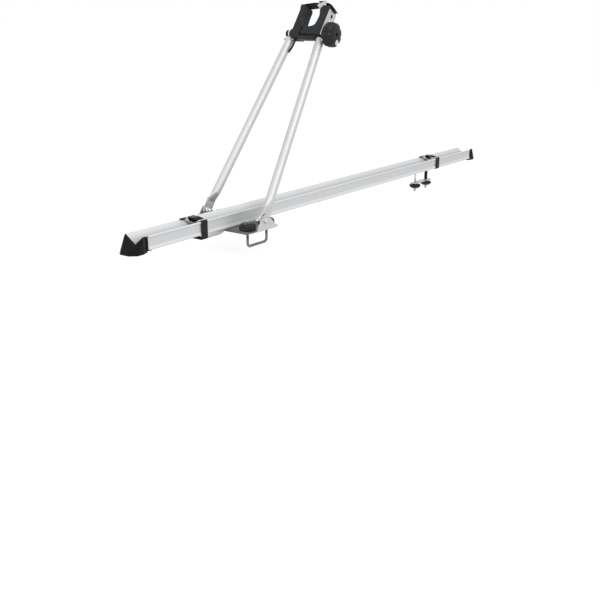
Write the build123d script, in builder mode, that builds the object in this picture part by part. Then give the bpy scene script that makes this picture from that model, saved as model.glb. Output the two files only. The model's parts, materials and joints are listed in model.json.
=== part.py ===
from build123d import *
import math
import os

# Roof mounted bike carrier, in millimetres. +X runs along the rail to its rear end, +Y to the
# far side and +Z up. The origin is the seat on the front roof bar: the middle of the base
# plate's underside, between the legs of the two U-bolts.
os.makedirs("parts", exist_ok=True)

# Fits and gaps
running_gap = 0.3  # air between pieces that move past each other
fit_gap = 0.05  # radial play of a pin or a rod in its bore
hole_gap = 0.25  # radial air round a bolt in a plain hole
plug_gap = 0.2  # air round a plug in the rail's hollows
overrun = 2.0  # how far a cut runs past the face it starts from

# Rail: one extrusion, a V channel for the wheels over a box with a T slot in its underside
rail_length = 1400
rail_width = 52
rail_height = 29.4
rail_wall = 1.8
rail_overhang = 287.25  # from the bar seat forward to the rail's front end
lip_width = 1.8
lip_height = 3.8
lip_radius = 0.8
panel_recess = 1.7  # how far the side panel lies inside the lip and the foot
foot_height = 7.0
foot_edge_height = 2.0
valley_height = 10.5
valley_radius = 5
slot_mouth = 8
slot_width = 14
slot_depth = 3.7
slot_wall = 1.6

# End caps
cap_peak = 15  # how far the two peaks run past the rail's end
cap_side = 29  # how far the sides run past it at the rail's underside
cap_nose = 44
cap_nose_width = 24
cap_drop = 5.5  # rim below the rail's underside
cap_notch = 12.6  # from the rail's end to the bottom of the notch
cap_waist = 5  # how much each side is drawn in at the rail's end
cap_tongue = 9
cap_tongue_thickness = 2
cap_plug = 12

# Base plate, saddle under the rail, and the bolts that hold them in the T slot
plate_length = 100
plate_width = 174
plate_thickness = 3
plate_lip = 3  # how far the folded front edge hangs below the plate
plate_corner = 6
saddle_thickness = 3
saddle_width = 50
saddle_front = 132.25  # from the bar seat forward to the saddle's front end
saddle_rear = 48.75
skirt_depth = 8  # from the rail's underside to the lower edge of the saddle's skirts
skirt_length = 70
skirt_radius = 4
base_bolt_reach = 38  # from the bar seat to each base bolt
base_bolt_radius = 3
slot_head_thickness = 3  # of the square heads and nuts that sit in the rail's slot
slot_head_side = 13
base_head_radius = 5.6
base_head_depth = 2.6
base_head_sink = 0.1  # how far each head lies inside the plate's underside

# Ears and arm pivots
ear_thickness = 3
ear_front = 31
ear_rear = 44
ear_tip_radius = 13
ear_corner = 2.5
pivot_x = 2.5
pivot_height = 21.5
pivot_radius = 4
pivot_head_width = 13
pivot_head_thickness = 5.3
pivot_nut_thickness = 5
pivot_nut_collar = 3
pivot_washer_radius = 8
pivot_washer_thickness = 1.6
friction_washer_radius = 13
friction_washer_thickness = 1.5
bolt_tip = 1.6  # how far a bolt's tip stands out of its nut

# Arms: tubes flattened to a tab at the pivot, drawn together towards the head
arm_lean = 54.4  # degrees above the rail, leaning to the rear
arm_radius = 10
arm_wall = 1.5
arm_overlap = 9.5  # how far each tube's upper end runs up beside the yoke
arm_spread = 82.5  # half the spacing of the two tube axes at the pivot's height
arm_draw_share = 0.087  # how far each tube comes in for each length along the lean
tab_width = 26
tab_thickness = 3.4
tab_length = 28
swage_length = 19
swage_bulge = 0.25

# U-bolts and their knobs
u_bolt_radius = 3
u_bolt_span = 65.5
u_bolt_spread = 66  # from the rail's middle to the plane of each U-bolt
u_bolt_drop = 37  # from the seat down to the lower side of the U-bolt
u_bolt_corner = 8  # bend radius on the rod's axis
rod_proud = 1.6  # how far a rod's tip stands out of its knob
knob_radius = 18.5
knob_height = 17
knob_skirt = 8
knob_hub_radius = 6
knob_lobes = 6
knob_scallop_radius = 7
knob_scallop_depth = 2

# Clamp head, measured along the arms from the pivot and across from the rail's middle plane
head_depth = 28
yoke_low = 446
yoke_height = 11.5
yoke_rise = 6  # how far the yoke's underside climbs from its front face to its back
yoke_back = 2  # how far the yoke runs behind the tubes' axes
yoke_inner = 5  # where the tall boss of the far side begins
shelf_step = 2  # from the yoke's lower edge up to the shelf
shelf_thickness = 9
yoke_block_width = 24
yoke_width = 69
head_bolt_rise = 6.2  # from the yoke's lower edge up to the bolts that tie the tubes
head_bolt_out = 5  # from the tubes' axes forward to these bolts
head_bolt_radius = 2
head_bolt_length = 24
head_bolt_head = 7
head_bolt_head_thickness = 3.5
clamp_rise = 11.5  # from the yoke up to the clamp bolt's axis
clamp_radius = 4
clamp_cap_radius = 9
clamp_cap_thickness = 9
spacer_radius = 11
spacer_thickness = 5
far_outer = 37
far_boss = 44  # outer face of the boss under the spacer
far_boss_radius = 12
far_jaw_height = 83.5
far_lip = 2.5
far_lip_height = 8
pad_thickness = 2.5
near_outer = 47
near_lift = 3.5  # from the yoke up to the near jaw
near_jaw_height = 76
jaw_foot_height = 19
foot_end = 8
jaw_plate_thickness = 2.5
jaw_plate_length = 69
jaw_plate_width = 29
jaw_plate_corner = 4
jaw_slot_width = 7
jaw_slot_length = 8
jaw_slot_drop = 13  # from the plate's top edge down to the middle of its slot
jaw_screw_radius = 2
jaw_screw_length = 9
jaw_screw_head_radius = 3.5
jaw_screw_head_thickness = 1.8
jaw_screw_pitch = 17  # from the clamp bolt to the first screw, and on to the second

# Big clamp knob and its lock
grip_radius = 28
grip_skirt = 15.5
grip_dome = 9.5
grip_gap = 0.6  # between the jaw plate's face and the knob's neck
grip_neck_radius = 12
grip_neck_length = 9
grip_lobes = 8
grip_scallop_radius = 8
grip_scallop_depth = 2.2
grip_pole_radius = 3.6
grip_pole_depth = 5
insert_radius = 8
insert_flange_radius = 10
insert_flange_thickness = 1.5
insert_length = 22
thread_depth = 25  # how far the clamp bolt reaches into the knob
lock_radius = 6.3
lock_offset_a = 11.8
lock_offset_n = 12.5
lock_proud = 2.2
lock_depth = 12
keyway_width = 1.4
keyway_length = 7
keyway_depth = 3

# Webbing
webbing_thickness = 1.6
head_webbing_width = 22
wheel_webbing_width = 19
webbing_fold = 1.0  # bend radius of the webbing's middle where it folds over an edge
webbing_lift = 0.15  # air where webbing lies on metal

# Head strap, its buckle on the near jaw, and the loose ends
strap_rise = 6  # from the far jaw's top up to the strap's crown between the jaws
strap_grip = 11  # how far the strap runs down the far jaw's back
strap_end = 14  # how far past the rail's middle plane the strap reaches into the buckle
buckle_near = 33
buckle_far = 9
buckle_width = 30
buckle_cheek = 10
buckle_frame_thickness = 1.5
head_pin_radius = 1.8
head_pin_y = 26
head_pin_rise = 7.5  # from the near jaw's top up to the buckle's pin
head_lever_reach = 20
head_lever_thickness = 2.2
head_lever_rise = 12.6
head_lever_boss = 3.4
head_lever_slot = 4.5  # how far past the pin the lever is open for the strap's loose end
flap_reach = 55
flap_drop = 6  # from the near jaw's top down to the flap's end
flap_shares = [(0, 0), (0.1, 0.34), (0.41, 0.69), (1, 1)]  # its bends, down and across
tail_strip_width = 6
tail_strip_drop = 27
tail_strip_y = 28
tail_strip_flare = 5

# Wheel straps and buckles, measured across the rail and up from its underside
strap_lift = 30.5  # the webbing's middle where it crosses the rail's lips
strap_dip_y = 23.5  # where the webbing leaves the lips for the channel
wheel_plate_far = 19
wheel_plate_near = 15
wheel_plate_far_height = 27.4
wheel_plate_near_height = 23.6
wheel_plate_thickness = 1.6
wheel_frame_width = 24
wheel_cheek = 8.6
wheel_pin_radius = 1.4
wheel_pin_y = 13.5
wheel_pin_height = 32.4
wheel_lever_thickness = 2
wheel_lever_reach = 29.5  # from the pin to the lever's tip
wheel_lever_dip = 2.6  # how far the tip lies below the lever's flat
wheel_lever_boss = 2.8
tail_length = 13
tail_width = 8
front_strap_x = -126.75
rear_strap_x = 898.25

# Rear clamp under the rail
rear_rod_radius = 3
rear_front_rod_x = 814.75
rear_rod_span = 64
rear_rod_tip = 54  # from the seat's level down to the rods' tips
strip_length = 95
strip_width = 20
strip_thickness = 2
strip_height = 28  # from the seat's level down to the strip's top face
strip_corner = 4
strip_shift = 3.5
sleeve_radius = 4.6
sleeve_flange_radius = 6.2
sleeve_flange_thickness = 2
sleeve_drop = 26.5
rear_knob_radius = 17
rear_knob_disc = 6
rear_knob_hub = 3
rear_knob_hub_radius = 7
rear_knob_taper = 4
rear_knob_small_radius = 11

# Places that follow from the sizes above
half_width = rail_width / 2
rail_z = plate_thickness + saddle_thickness
front_end_x = -rail_overhang
rail_middle_x = front_end_x + rail_length / 2
rail_top_z = rail_z + rail_height
channel_slope_share = (rail_height - valley_height) / (half_width - lip_width)
ear_inner = plate_width / 2
ear_outer = ear_inner + ear_thickness
tab_outer = ear_inner - friction_washer_thickness - running_gap
tab_inner = tab_outer - tab_thickness
middle_plane = Plane.XZ

yoke_top = yoke_low + yoke_height
yoke_back_low = yoke_low + yoke_rise
shelf_low = yoke_low + shelf_step
shelf_top = shelf_low + shelf_thickness
head_bolt_reach = yoke_low + head_bolt_rise
arm_reach = yoke_low + arm_overlap
clamp_reach = yoke_top + clamp_rise
far_top = yoke_top + far_jaw_height
near_low = yoke_top + near_lift
near_top = near_low + near_jaw_height
foot_top = near_low + jaw_foot_height
jaw_plate_top = near_low + jaw_plate_length
jaw_slot_reach = jaw_plate_top - jaw_slot_drop
jaw_screw_reaches = [clamp_reach + jaw_screw_pitch, clamp_reach + 2 * jaw_screw_pitch]
strap_crown = far_top + strap_rise
strap_anchor = far_top - strap_grip
flap_low = near_top - flap_drop
tail_strip_low = yoke_low - tail_strip_drop

lean = math.radians(arm_lean)
along = Vector(math.cos(lean), 0, math.sin(lean))
normal = Vector(-math.sin(lean), 0, math.cos(lean))
pivot = Vector(pivot_x, 0, pivot_height)
head_plane = Plane(origin=pivot, x_dir=along, z_dir=normal)


def on_arm(reach, across, out=0):
    """The point at a reach along the arms, across from the middle and out from their plane."""
    return pivot + along * reach + Vector(0, across, 0) + normal * out


def facing_side(across, reach=0, out=0, to_far=True):
    """Plane square to +Y or -Y at a point of the arm frame, with its x along the arms."""
    return Plane(origin=on_arm(reach, across, out), x_dir=along, z_dir=(0, 1 if to_far else -1, 0))


def through_points(first, second, third):
    """Plane through three points, facing the side where they run anticlockwise."""
    x_dir = Vector(*second) - Vector(*first)
    return Plane(origin=first, x_dir=x_dir, z_dir=x_dir.cross(Vector(*third) - Vector(*first)))


def at_height(x, y, z, up=True):
    """Level plane at a point, facing up or down."""
    return Plane(origin=(x, y, z), x_dir=(1, 0, 0), z_dir=(0, 0, 1 if up else -1))


def disc(seat, radius, thickness, bore):
    """A washer that stands on its seat."""
    with BuildPart() as washer:
        with BuildSketch(seat):
            Circle(radius)
            Circle(bore, mode=Mode.SUBTRACT)
        extrude(amount=thickness)
    return washer.part


def hex_nut(seat, width, thickness, bore, collar=0):
    """A hexagon nut on its seat, with a round collar on top where one is given."""
    with BuildPart() as nut:
        with BuildSketch(seat):
            RegularPolygon(width / 2, 6, major_radius=False)
            Circle(bore, mode=Mode.SUBTRACT)
        extrude(amount=thickness)
        if collar:
            with BuildSketch(seat.offset(thickness)):
                Circle(width * 0.45)
                Circle(bore, mode=Mode.SUBTRACT)
            extrude(amount=collar)
    return nut.part


def countersunk(x, clearance, top):
    """A base screw's outline, head down and flush with the seat, widened by a clearance."""
    sink = base_head_sink if clearance == 0 else 0
    shank = base_bolt_radius + clearance
    head = base_head_radius + clearance
    with BuildPart() as screw:
        with BuildSketch(Plane.XZ):
            with BuildLine():
                Polyline(
                    (x, sink),
                    (x + head, sink),
                    (x + shank, sink + base_head_depth),
                    (x + shank, top),
                    (x, top),
                    close=True,
                )
            make_face()
        revolve(axis=Axis((x, 0, 0), (0, 0, 1)))
    return screw.part


def hex_bolt(seat, radius, length, width, head):
    """A bolt whose head stands behind its seat and whose shank runs ahead of it."""
    with BuildPart() as bolt:
        with BuildSketch(seat):
            Circle(radius)
        extrude(amount=length)
        tip = bolt.edges().sort_by(Axis(seat.origin, seat.z_dir))[-1]
        chamfer(tip, radius / 4)
        with BuildSketch(seat):
            RegularPolygon(width / 2, 6, major_radius=False)
        extrude(amount=-head)
    return bolt.part


def lobed_knob(seat, radius, skirt, height, hub, lobes, scallop, depth, bore):
    """A domed knob on its seat, its edge cut by scallops and its middle bored for a rod."""
    with BuildPart() as knob:
        with BuildSketch(seat):
            Circle(radius)
            with PolarLocations(radius + scallop - depth, lobes):
                Circle(scallop, mode=Mode.SUBTRACT)
        extrude(amount=height)
        # The dome is what a turned profile leaves of the lobed blank
        profile = Plane(origin=seat.origin, x_dir=seat.x_dir, z_dir=-seat.y_dir)
        with BuildSketch(profile):
            with BuildLine():
                side = Line((radius, 0), (radius, skirt))
                crown = ThreePointArc(
                    side @ 1,
                    ((radius + hub) * 0.56, skirt + (height - skirt) * 0.72),
                    (hub, height),
                )
                Polyline(crown @ 1, (0, height), (0, 0), side @ 0)
            make_face()
        revolve(axis=Axis(seat.origin, seat.z_dir), mode=Mode.INTERSECT)
        if bore:
            with BuildSketch(seat):
                Circle(bore)
            extrude(amount=height, mode=Mode.SUBTRACT)
    return knob.part


# Rail
rail_plane = Plane(origin=(front_end_x, 0, rail_z), x_dir=(0, 1, 0), z_dir=(1, 0, 0))
panel_y = half_width - panel_recess
hollow_inner = slot_width / 2 + slot_wall
hollow_outer = panel_y - rail_wall
floor_drop = rail_wall * math.hypot(1, channel_slope_share)


def hollow_top(y):
    """Height of the roof of the rail's side hollows at a distance from the middle."""
    return valley_height + channel_slope_share * y - floor_drop


with BuildPart() as rail:
    with BuildSketch(rail_plane) as section:
        with BuildLine():
            Polyline(
                (0, valley_height),
                (half_width - lip_width, rail_height),
                (half_width, rail_height),
                (half_width, rail_height - lip_height),
                (panel_y, rail_height - lip_height),
                (panel_y, foot_height),
                (half_width, foot_edge_height),
                (half_width, 0),
                (0, 0),
            )
            mirror(about=Plane.YZ)
        make_face()
        lips = section.vertices().group_by(Axis.Y)[-1]
        fillet(lips, lip_radius)
        valley = section.vertices().sort_by_distance((0, valley_height))[0]
        fillet(valley, valley_radius)
        with BuildLine():
            hollow = Polyline(
                (hollow_inner, rail_wall),
                (hollow_outer, rail_wall),
                (hollow_outer, hollow_top(hollow_outer)),
                (hollow_inner, hollow_top(hollow_inner)),
                close=True,
            )
        make_face(mode=Mode.SUBTRACT)
        with BuildLine():
            mirror(hollow, about=Plane.YZ)
        make_face(mode=Mode.SUBTRACT)
        with Locations((0, rail_wall / 2)):
            Rectangle(slot_mouth, rail_wall, mode=Mode.SUBTRACT)
        with Locations((0, rail_wall + slot_depth / 2)):
            Rectangle(slot_width, slot_depth, mode=Mode.SUBTRACT)
    extrude(amount=rail_length)
rail.part.label = "rail"
export_step(rail.part, "parts/rail.step")

# End caps: the front one, and its mirror image at the rear
cap_low_z = rail_z - cap_drop
notch_point = (front_end_x - cap_notch, 0, rail_z + valley_height)
peak_point = (front_end_x - cap_peak, half_width, rail_top_z)
side_point = (front_end_x - cap_side, half_width, rail_z)
nose_point = (front_end_x - cap_nose, cap_nose_width / 2, cap_low_z)
prow_point = (front_end_x - cap_nose, 0, cap_low_z)
floor_near = (front_end_x, 0, rail_z + valley_height)
floor_lip = (front_end_x, half_width - lip_width, rail_top_z)
floor_ahead = (front_end_x - cap_nose, 0, rail_z + valley_height)

with BuildPart() as front_cap:
    with BuildSketch(Plane.XY.offset(cap_low_z)):
        with BuildLine():
            Polyline(
                (front_end_x, 0),
                (front_end_x, half_width - cap_waist),
                (front_end_x - cap_peak, half_width),
                (front_end_x - cap_side - cap_drop / 2, half_width),
                (front_end_x - cap_nose, cap_nose_width / 2),
                (front_end_x - cap_nose, 0),
                close=True,
            )
        make_face()
    extrude(amount=cap_drop + rail_height)
    split(bisect_by=through_points(peak_point, side_point, nose_point), keep=Keep.BOTTOM)
    split(bisect_by=through_points(notch_point, peak_point, prow_point), keep=Keep.BOTTOM)
    split(bisect_by=through_points(floor_near, floor_lip, floor_ahead), keep=Keep.BOTTOM)
    # The plug that holds the cap in the rail's side hollow
    plug_plane = Plane(origin=(front_end_x, 0, rail_z), x_dir=(0, 1, 0), z_dir=(1, 0, 0))
    with BuildSketch(plug_plane):
        with BuildLine():
            Polyline(
                (hollow_inner + plug_gap, rail_wall + plug_gap),
                (hollow_outer - plug_gap, rail_wall + plug_gap),
                (hollow_outer - plug_gap, hollow_top(hollow_outer) - 2 * plug_gap),
                (hollow_inner + plug_gap, hollow_top(hollow_inner) - 2 * plug_gap),
                close=True,
            )
        make_face()
    extrude(amount=cap_plug)
    with BuildSketch(Plane.XY.offset(rail_z - cap_tongue_thickness)):
        with Locations((front_end_x, 0)):
            Rectangle(cap_tongue, half_width - cap_tongue_thickness, align=(Align.MIN, Align.MIN))
    extrude(amount=cap_tongue_thickness)
    mirror(about=middle_plane)
front_cap.part.label = "front_end_cap"
export_step(front_cap.part, "parts/front_end_cap.step")

with BuildPart() as rear_cap:
    mirror(front_cap.part, about=Plane.YZ.offset(rail_middle_x))
rear_cap.part.label = "rear_end_cap"
export_step(rear_cap.part, "parts/rear_end_cap.step")

# Saddle: a flat strip under the rail whose front part has a skirt down each side
skirt_z = rail_z - skirt_depth
with BuildPart() as saddle:
    with BuildSketch(Plane.XY.offset(rail_z - saddle_thickness)):
        with Locations((-saddle_front, 0)):
            Rectangle(saddle_front + saddle_rear, saddle_width, align=(Align.MIN, Align.CENTER))
    extrude(amount=saddle_thickness)
    with BuildSketch(Plane.XY.offset(skirt_z)):
        far_skirt = (-saddle_front, saddle_width / 2)
        near_skirt = (-saddle_front, saddle_thickness - saddle_width / 2)
        with Locations(far_skirt, near_skirt):
            Rectangle(skirt_length, saddle_thickness, align=(Align.MIN, Align.MAX))
    extrude(amount=skirt_depth)
    low_corners = saddle.edges().filter_by(Axis.Y).group_by(Axis.Z)[0]
    fillet(low_corners, skirt_radius)
    with Locations(Plane.XY.offset(rail_z)):
        with Locations((-base_bolt_reach, 0), (base_bolt_reach, 0)):
            Hole(base_bolt_radius + hole_gap)
saddle.part.label = "rail_saddle"
export_step(saddle.part, "parts/rail_saddle.step")

# Base plate: rests on the roof bar and carries the ears and the knobs
leg_x = u_bolt_span / 2
with BuildPart() as base_plate:
    with BuildSketch() as outline:
        RectangleRounded(plate_length, plate_width, plate_corner)
    extrude(amount=plate_thickness)
    with BuildSketch(Plane.XY.offset(-plate_lip)):
        with Locations((-plate_length / 2, 0)):
            Rectangle(plate_thickness, plate_width - 2 * plate_corner, align=(Align.MIN, Align.CENTER))
    extrude(amount=plate_lip + plate_thickness)
    with Locations(Plane.XY.offset(plate_thickness)):
        with GridLocations(u_bolt_span, 2 * u_bolt_spread, 2, 2):
            Hole(u_bolt_radius + running_gap)
    for bolt_x in (-base_bolt_reach, base_bolt_reach):
        add(countersunk(bolt_x, hole_gap, plate_thickness), mode=Mode.SUBTRACT)
base_plate.part.label = "base_plate"
export_step(base_plate.part, "parts/base_plate.step")

# Countersunk screws up through the base plate, and their square nuts in the rail's T slot
slot_head_z = rail_z + rail_wall + running_gap
with BuildPart() as base_bolts:
    for bolt_x in (-base_bolt_reach, base_bolt_reach):
        add(countersunk(bolt_x, 0, slot_head_z + slot_head_thickness))
base_bolts.part.label = "base_bolts"
export_step(base_bolts.part, "parts/base_bolts.step")

with BuildPart() as base_nuts:
    with BuildSketch(Plane.XY.offset(slot_head_z)):
        with Locations((-base_bolt_reach, 0), (base_bolt_reach, 0)):
            Rectangle(slot_head_side, slot_head_side)
            Circle(base_bolt_radius + fit_gap, mode=Mode.SUBTRACT)
    extrude(amount=slot_head_thickness)
base_nuts.part.label = "base_nuts"
export_step(base_nuts.part, "parts/base_nuts.step")

# Near side, then its mirror image on the far side: ear, pivot hardware and arm
with BuildPart() as near_ear:
    with BuildSketch(Plane.XZ.offset(ear_inner)):
        with BuildSketch(mode=Mode.PRIVATE) as tip:
            with Locations((pivot_x, pivot_height)):
                Circle(ear_tip_radius)
        with BuildLine():
            foot = Line((-ear_front, 0), (ear_rear, 0))
        make_hull(tip.edges() + foot.edges())
        with Locations((pivot_x, pivot_height)):
            Circle(pivot_radius + hole_gap, mode=Mode.SUBTRACT)
    extrude(amount=ear_thickness)
    foot_corners = near_ear.edges().filter_by(Axis.Y).group_by(Axis.Z)[0]
    fillet(foot_corners, ear_corner)

pivot_stack = ear_outer - tab_inner + running_gap + pivot_washer_thickness
pivot_seat = facing_side(-ear_outer)
washer_seat = facing_side(running_gap - tab_inner)
near_pivot_bolt = hex_bolt(pivot_seat, pivot_radius,
                           pivot_stack + pivot_nut_thickness + pivot_nut_collar + bolt_tip,
                           pivot_head_width, pivot_head_thickness)
near_friction_washer = disc(facing_side(-ear_inner), friction_washer_radius,
                            friction_washer_thickness, pivot_radius + hole_gap)
near_pivot_washer = disc(washer_seat, pivot_washer_radius, pivot_washer_thickness,
                         pivot_radius + fit_gap)
near_pivot_nut = hex_nut(washer_seat.offset(pivot_washer_thickness), pivot_head_width,
                         pivot_nut_thickness, pivot_radius + fit_gap, pivot_nut_collar)

draw_angle = math.atan(arm_draw_share)
tube_dir = along * math.cos(draw_angle) + Vector(0, math.sin(draw_angle), 0)
swage_end = tab_length + swage_length


def tube_axis(reach):
    """Distance of a tube's axis from the rail's middle plane at a reach along the arm."""
    return arm_spread - arm_draw_share * reach


tab_mid = (tab_outer + tab_inner) / 2
with BuildPart() as near_arm:
    with BuildSketch(facing_side(-tab_outer)):
        Circle(tab_width / 2)
        Rectangle(tab_length, tab_width, align=(Align.MIN, Align.CENTER))
        Circle(pivot_radius + fit_gap, mode=Mode.SUBTRACT)
    extrude(amount=tab_thickness)
    swage_start = tab_length - swage_length / 4
    with BuildSketch(Plane(origin=on_arm(swage_start, -tab_mid), x_dir=normal, z_dir=along)):
        Ellipse(tab_width / 2, tab_thickness / 2 + swage_bulge)
    tube_foot = Plane(origin=on_arm(swage_end, -tube_axis(swage_end)), x_dir=normal, z_dir=tube_dir)
    with BuildSketch(tube_foot):
        Circle(arm_radius)
    loft()
    with BuildSketch(tube_foot):
        Circle(arm_radius)
        Circle(arm_radius - arm_wall, mode=Mode.SUBTRACT)
    extrude(amount=(arm_reach - swage_end) / math.cos(draw_angle))
    # Bore for the bolt that ties the tube to the yoke
    with BuildSketch(facing_side(-arm_spread, head_bolt_reach, head_bolt_out)):
        Circle(head_bolt_radius + hole_gap)
    extrude(amount=arm_spread - yoke_width / 4, mode=Mode.SUBTRACT)
near_arm.part.label = "near_arm"

for name, piece in (
    ("ear", near_ear.part),
    ("pivot_bolt", near_pivot_bolt),
    ("friction_washer", near_friction_washer),
    ("pivot_washer", near_pivot_washer),
    ("pivot_nut", near_pivot_nut),
    ("arm", near_arm.part),
):
    piece.label = f"near_{name}"
    export_step(piece, f"parts/near_{name}.step")
    with BuildPart() as far_piece:
        mirror(piece, about=middle_plane)
    far_piece.part.label = f"far_{name}"
    export_step(far_piece.part, f"parts/far_{name}.step")

# U-bolts: one under each side of the plate, with a knob on each leg
knob_seat_z = plate_thickness + running_gap
rod_top_z = knob_seat_z + knob_height + rod_proud
rod_low_z = u_bolt_radius - u_bolt_drop
for name, across in (("near", -u_bolt_spread), ("far", u_bolt_spread)):
    with BuildPart() as u_bolt:
        with BuildLine(Plane.XZ.offset(-across)) as bend:
            FilletPolyline(
                (-leg_x, rod_top_z), (-leg_x, rod_low_z), (leg_x, rod_low_z), (leg_x, rod_top_z),
                radius=u_bolt_corner,
            )
        with BuildSketch(at_height(-leg_x, across, rod_top_z, up=False)):
            Circle(u_bolt_radius)
        sweep(path=bend.line)
        tips = u_bolt.edges().group_by(Axis.Z)[-1]
        chamfer(tips, u_bolt_radius / 4)
    u_bolt.part.label = f"{name}_u_bolt"
    export_step(u_bolt.part, f"parts/{name}_u_bolt.step")
    for place, leg in (("front", -leg_x), ("rear", leg_x)):
        clamp_knob = lobed_knob(at_height(leg, across, knob_seat_z), knob_radius, knob_skirt,
                                knob_height, knob_hub_radius, knob_lobes, knob_scallop_radius,
                                knob_scallop_depth, u_bolt_radius + fit_gap)
        clamp_knob.label = f"{name}_{place}_knob"
        export_step(clamp_knob, f"parts/{name}_{place}_knob.step")

# Yoke: the crosspiece between the tubes' upper ends, deepest under the middle of the jaws
half_depth = head_depth / 2
yoke_end = yoke_width / 2
half_block = yoke_block_width / 2
with BuildPart() as yoke:
    with BuildSketch(head_plane.offset(-yoke_back)):
        with BuildLine():
            Polyline(
                (yoke_back_low, yoke_end),
                (yoke_top, yoke_end),
                (yoke_top, yoke_inner),
                (shelf_top, yoke_inner),
                (shelf_top, -yoke_end),
                (shelf_low, -yoke_end),
                (shelf_low, -half_block),
                (yoke_low, -half_block),
                (yoke_low, half_block),
                (yoke_back_low, half_block),
                close=True,
            )
        make_face()
    extrude(amount=half_depth + yoke_back)
    # The underside climbs from the front face to the back
    with BuildSketch(facing_side(yoke_end)):
        with BuildLine():
            Polyline(
                (yoke_low, -half_depth),
                (yoke_back_low, yoke_back),
                (yoke_low, yoke_back),
                close=True,
            )
        make_face()
    extrude(amount=-yoke_width, mode=Mode.SUBTRACT)
    # Seats for the tubes, and bores for the bolts that tie them
    for side in (-1, 1):
        seat_reach = yoke_low - arm_radius
        seat_dir = along * math.cos(draw_angle) - Vector(0, side * math.sin(draw_angle), 0)
        seat = Plane(origin=on_arm(seat_reach, side * tube_axis(seat_reach)), x_dir=normal, z_dir=seat_dir)
        with BuildSketch(seat):
            Circle(arm_radius)
        extrude(amount=yoke_top - seat_reach + arm_radius, mode=Mode.SUBTRACT)
        with BuildSketch(facing_side(side * yoke_end, head_bolt_reach, head_bolt_out, side < 0)):
            Circle(head_bolt_radius + fit_gap)
        extrude(amount=head_bolt_length, mode=Mode.SUBTRACT)
yoke.part.label = "head_yoke"
export_step(yoke.part, "parts/head_yoke.step")

head_bolt_seat = tube_axis(head_bolt_reach - head_bolt_head) + arm_radius
with BuildPart() as head_bolts:
    for side in (-1, 1):
        seat = facing_side(side * head_bolt_seat, head_bolt_reach, head_bolt_out, side < 0)
        add(hex_bolt(seat, head_bolt_radius, head_bolt_length, head_bolt_head, head_bolt_head_thickness))
head_bolts.part.label = "head_bolts"
export_step(head_bolts.part, "parts/head_bolts.step")

# Jaw faces as shares of each jaw's height and of its distance from the middle plane, for the
# far jaw's front and back edges and for the near jaw
far_front_shares = [(0, 0.3), (0.17, 0.32), (0.29, 0.35), (0.45, 0.45), (0.64, 0.65),
                    (0.77, 0.73), (0.92, 0.73), (1, 0.66)]
far_back_shares = [(0, 0.3), (0.17, 0.35), (0.29, 0.42), (0.45, 0.49), (0.64, 0.54),
                   (0.77, 0.555), (0.92, 0.555), (1, 0.52)]
near_shares = [(0.27, 0.04), (0.275, 0.14), (0.3, 0.28), (0.36, 0.42), (0.43, 0.49), (0.53, 0.51),
               (0.67, 0.52), (0.81, 0.45), (1, 0.46)]
far_pad_shares = (0.25, 0.94)
near_pad_shares = (0.38, 0.95)


def contour(shares, low, top, breadth, shift=0):
    """A jaw's face in the head plane, moved across by a shift."""
    return [(low + (top - low) * height, breadth * across + shift) for height, across in shares]


def far_section(shares, out):
    """The far jaw's section on the plane at a distance out from the middle of the head."""
    with BuildSketch(head_plane.offset(out)) as section:
        with BuildLine():
            face = Spline(contour(shares, yoke_top, far_top, far_outer, pad_thickness))
            Polyline(face @ 1, (far_top, far_outer), (yoke_top, far_outer), face @ 0)
        make_face()
    return section.sketch


def far_pad_section(shares, out):
    """The far pad's section between the jaw's face and the pad's own."""
    with BuildSketch(head_plane.offset(out)) as section:
        with BuildLine():
            back = Spline(contour(shares, yoke_top, far_top, far_outer, pad_thickness))
            front = Spline(contour(shares, yoke_top, far_top, far_outer))
            Line(back @ 0, front @ 0)
            Line(back @ 1, front @ 1)
        make_face()
    return section.sketch


with BuildPart() as far_jaw:
    loft([far_section(far_front_shares, half_depth), far_section(far_back_shares, -half_depth)], ruled=True)
    # Lip over the outer top edge, and the boss under the spacer
    with BuildSketch(head_plane):
        with Locations((far_top - far_lip_height, far_outer)):
            Rectangle(far_lip_height, far_lip, align=(Align.MIN, Align.MIN))
    extrude(amount=half_depth, both=True)
    with BuildSketch(facing_side(far_outer, clamp_reach)):
        Circle(far_boss_radius)
    extrude(amount=far_boss - far_outer)
    with BuildSketch(facing_side(far_boss, clamp_reach, to_far=False)):
        Circle(clamp_radius + fit_gap)
    extrude(amount=far_boss, mode=Mode.SUBTRACT)
far_jaw.part.label = "far_jaw"
export_step(far_jaw.part, "parts/far_jaw.step")


def band(low, top, shares):
    """A slab across the head between two shares of a jaw's height."""
    start, end = (low + (top - low) * share for share in shares)
    with BuildPart() as slab:
        with BuildSketch(head_plane):
            with Locations((start, 0)):
                Rectangle(end - start, yoke_width * 2, align=(Align.MIN, Align.CENTER))
        extrude(amount=head_depth, both=True)
    return slab.part


with BuildPart() as far_pad:
    loft(
        [far_pad_section(far_front_shares, half_depth), far_pad_section(far_back_shares, -half_depth)],
        ruled=True,
    )
    add(band(yoke_top, far_top, far_pad_shares), mode=Mode.INTERSECT)
far_pad.part.label = "far_jaw_pad"
export_step(far_pad.part, "parts/far_jaw_pad.step")

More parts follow.
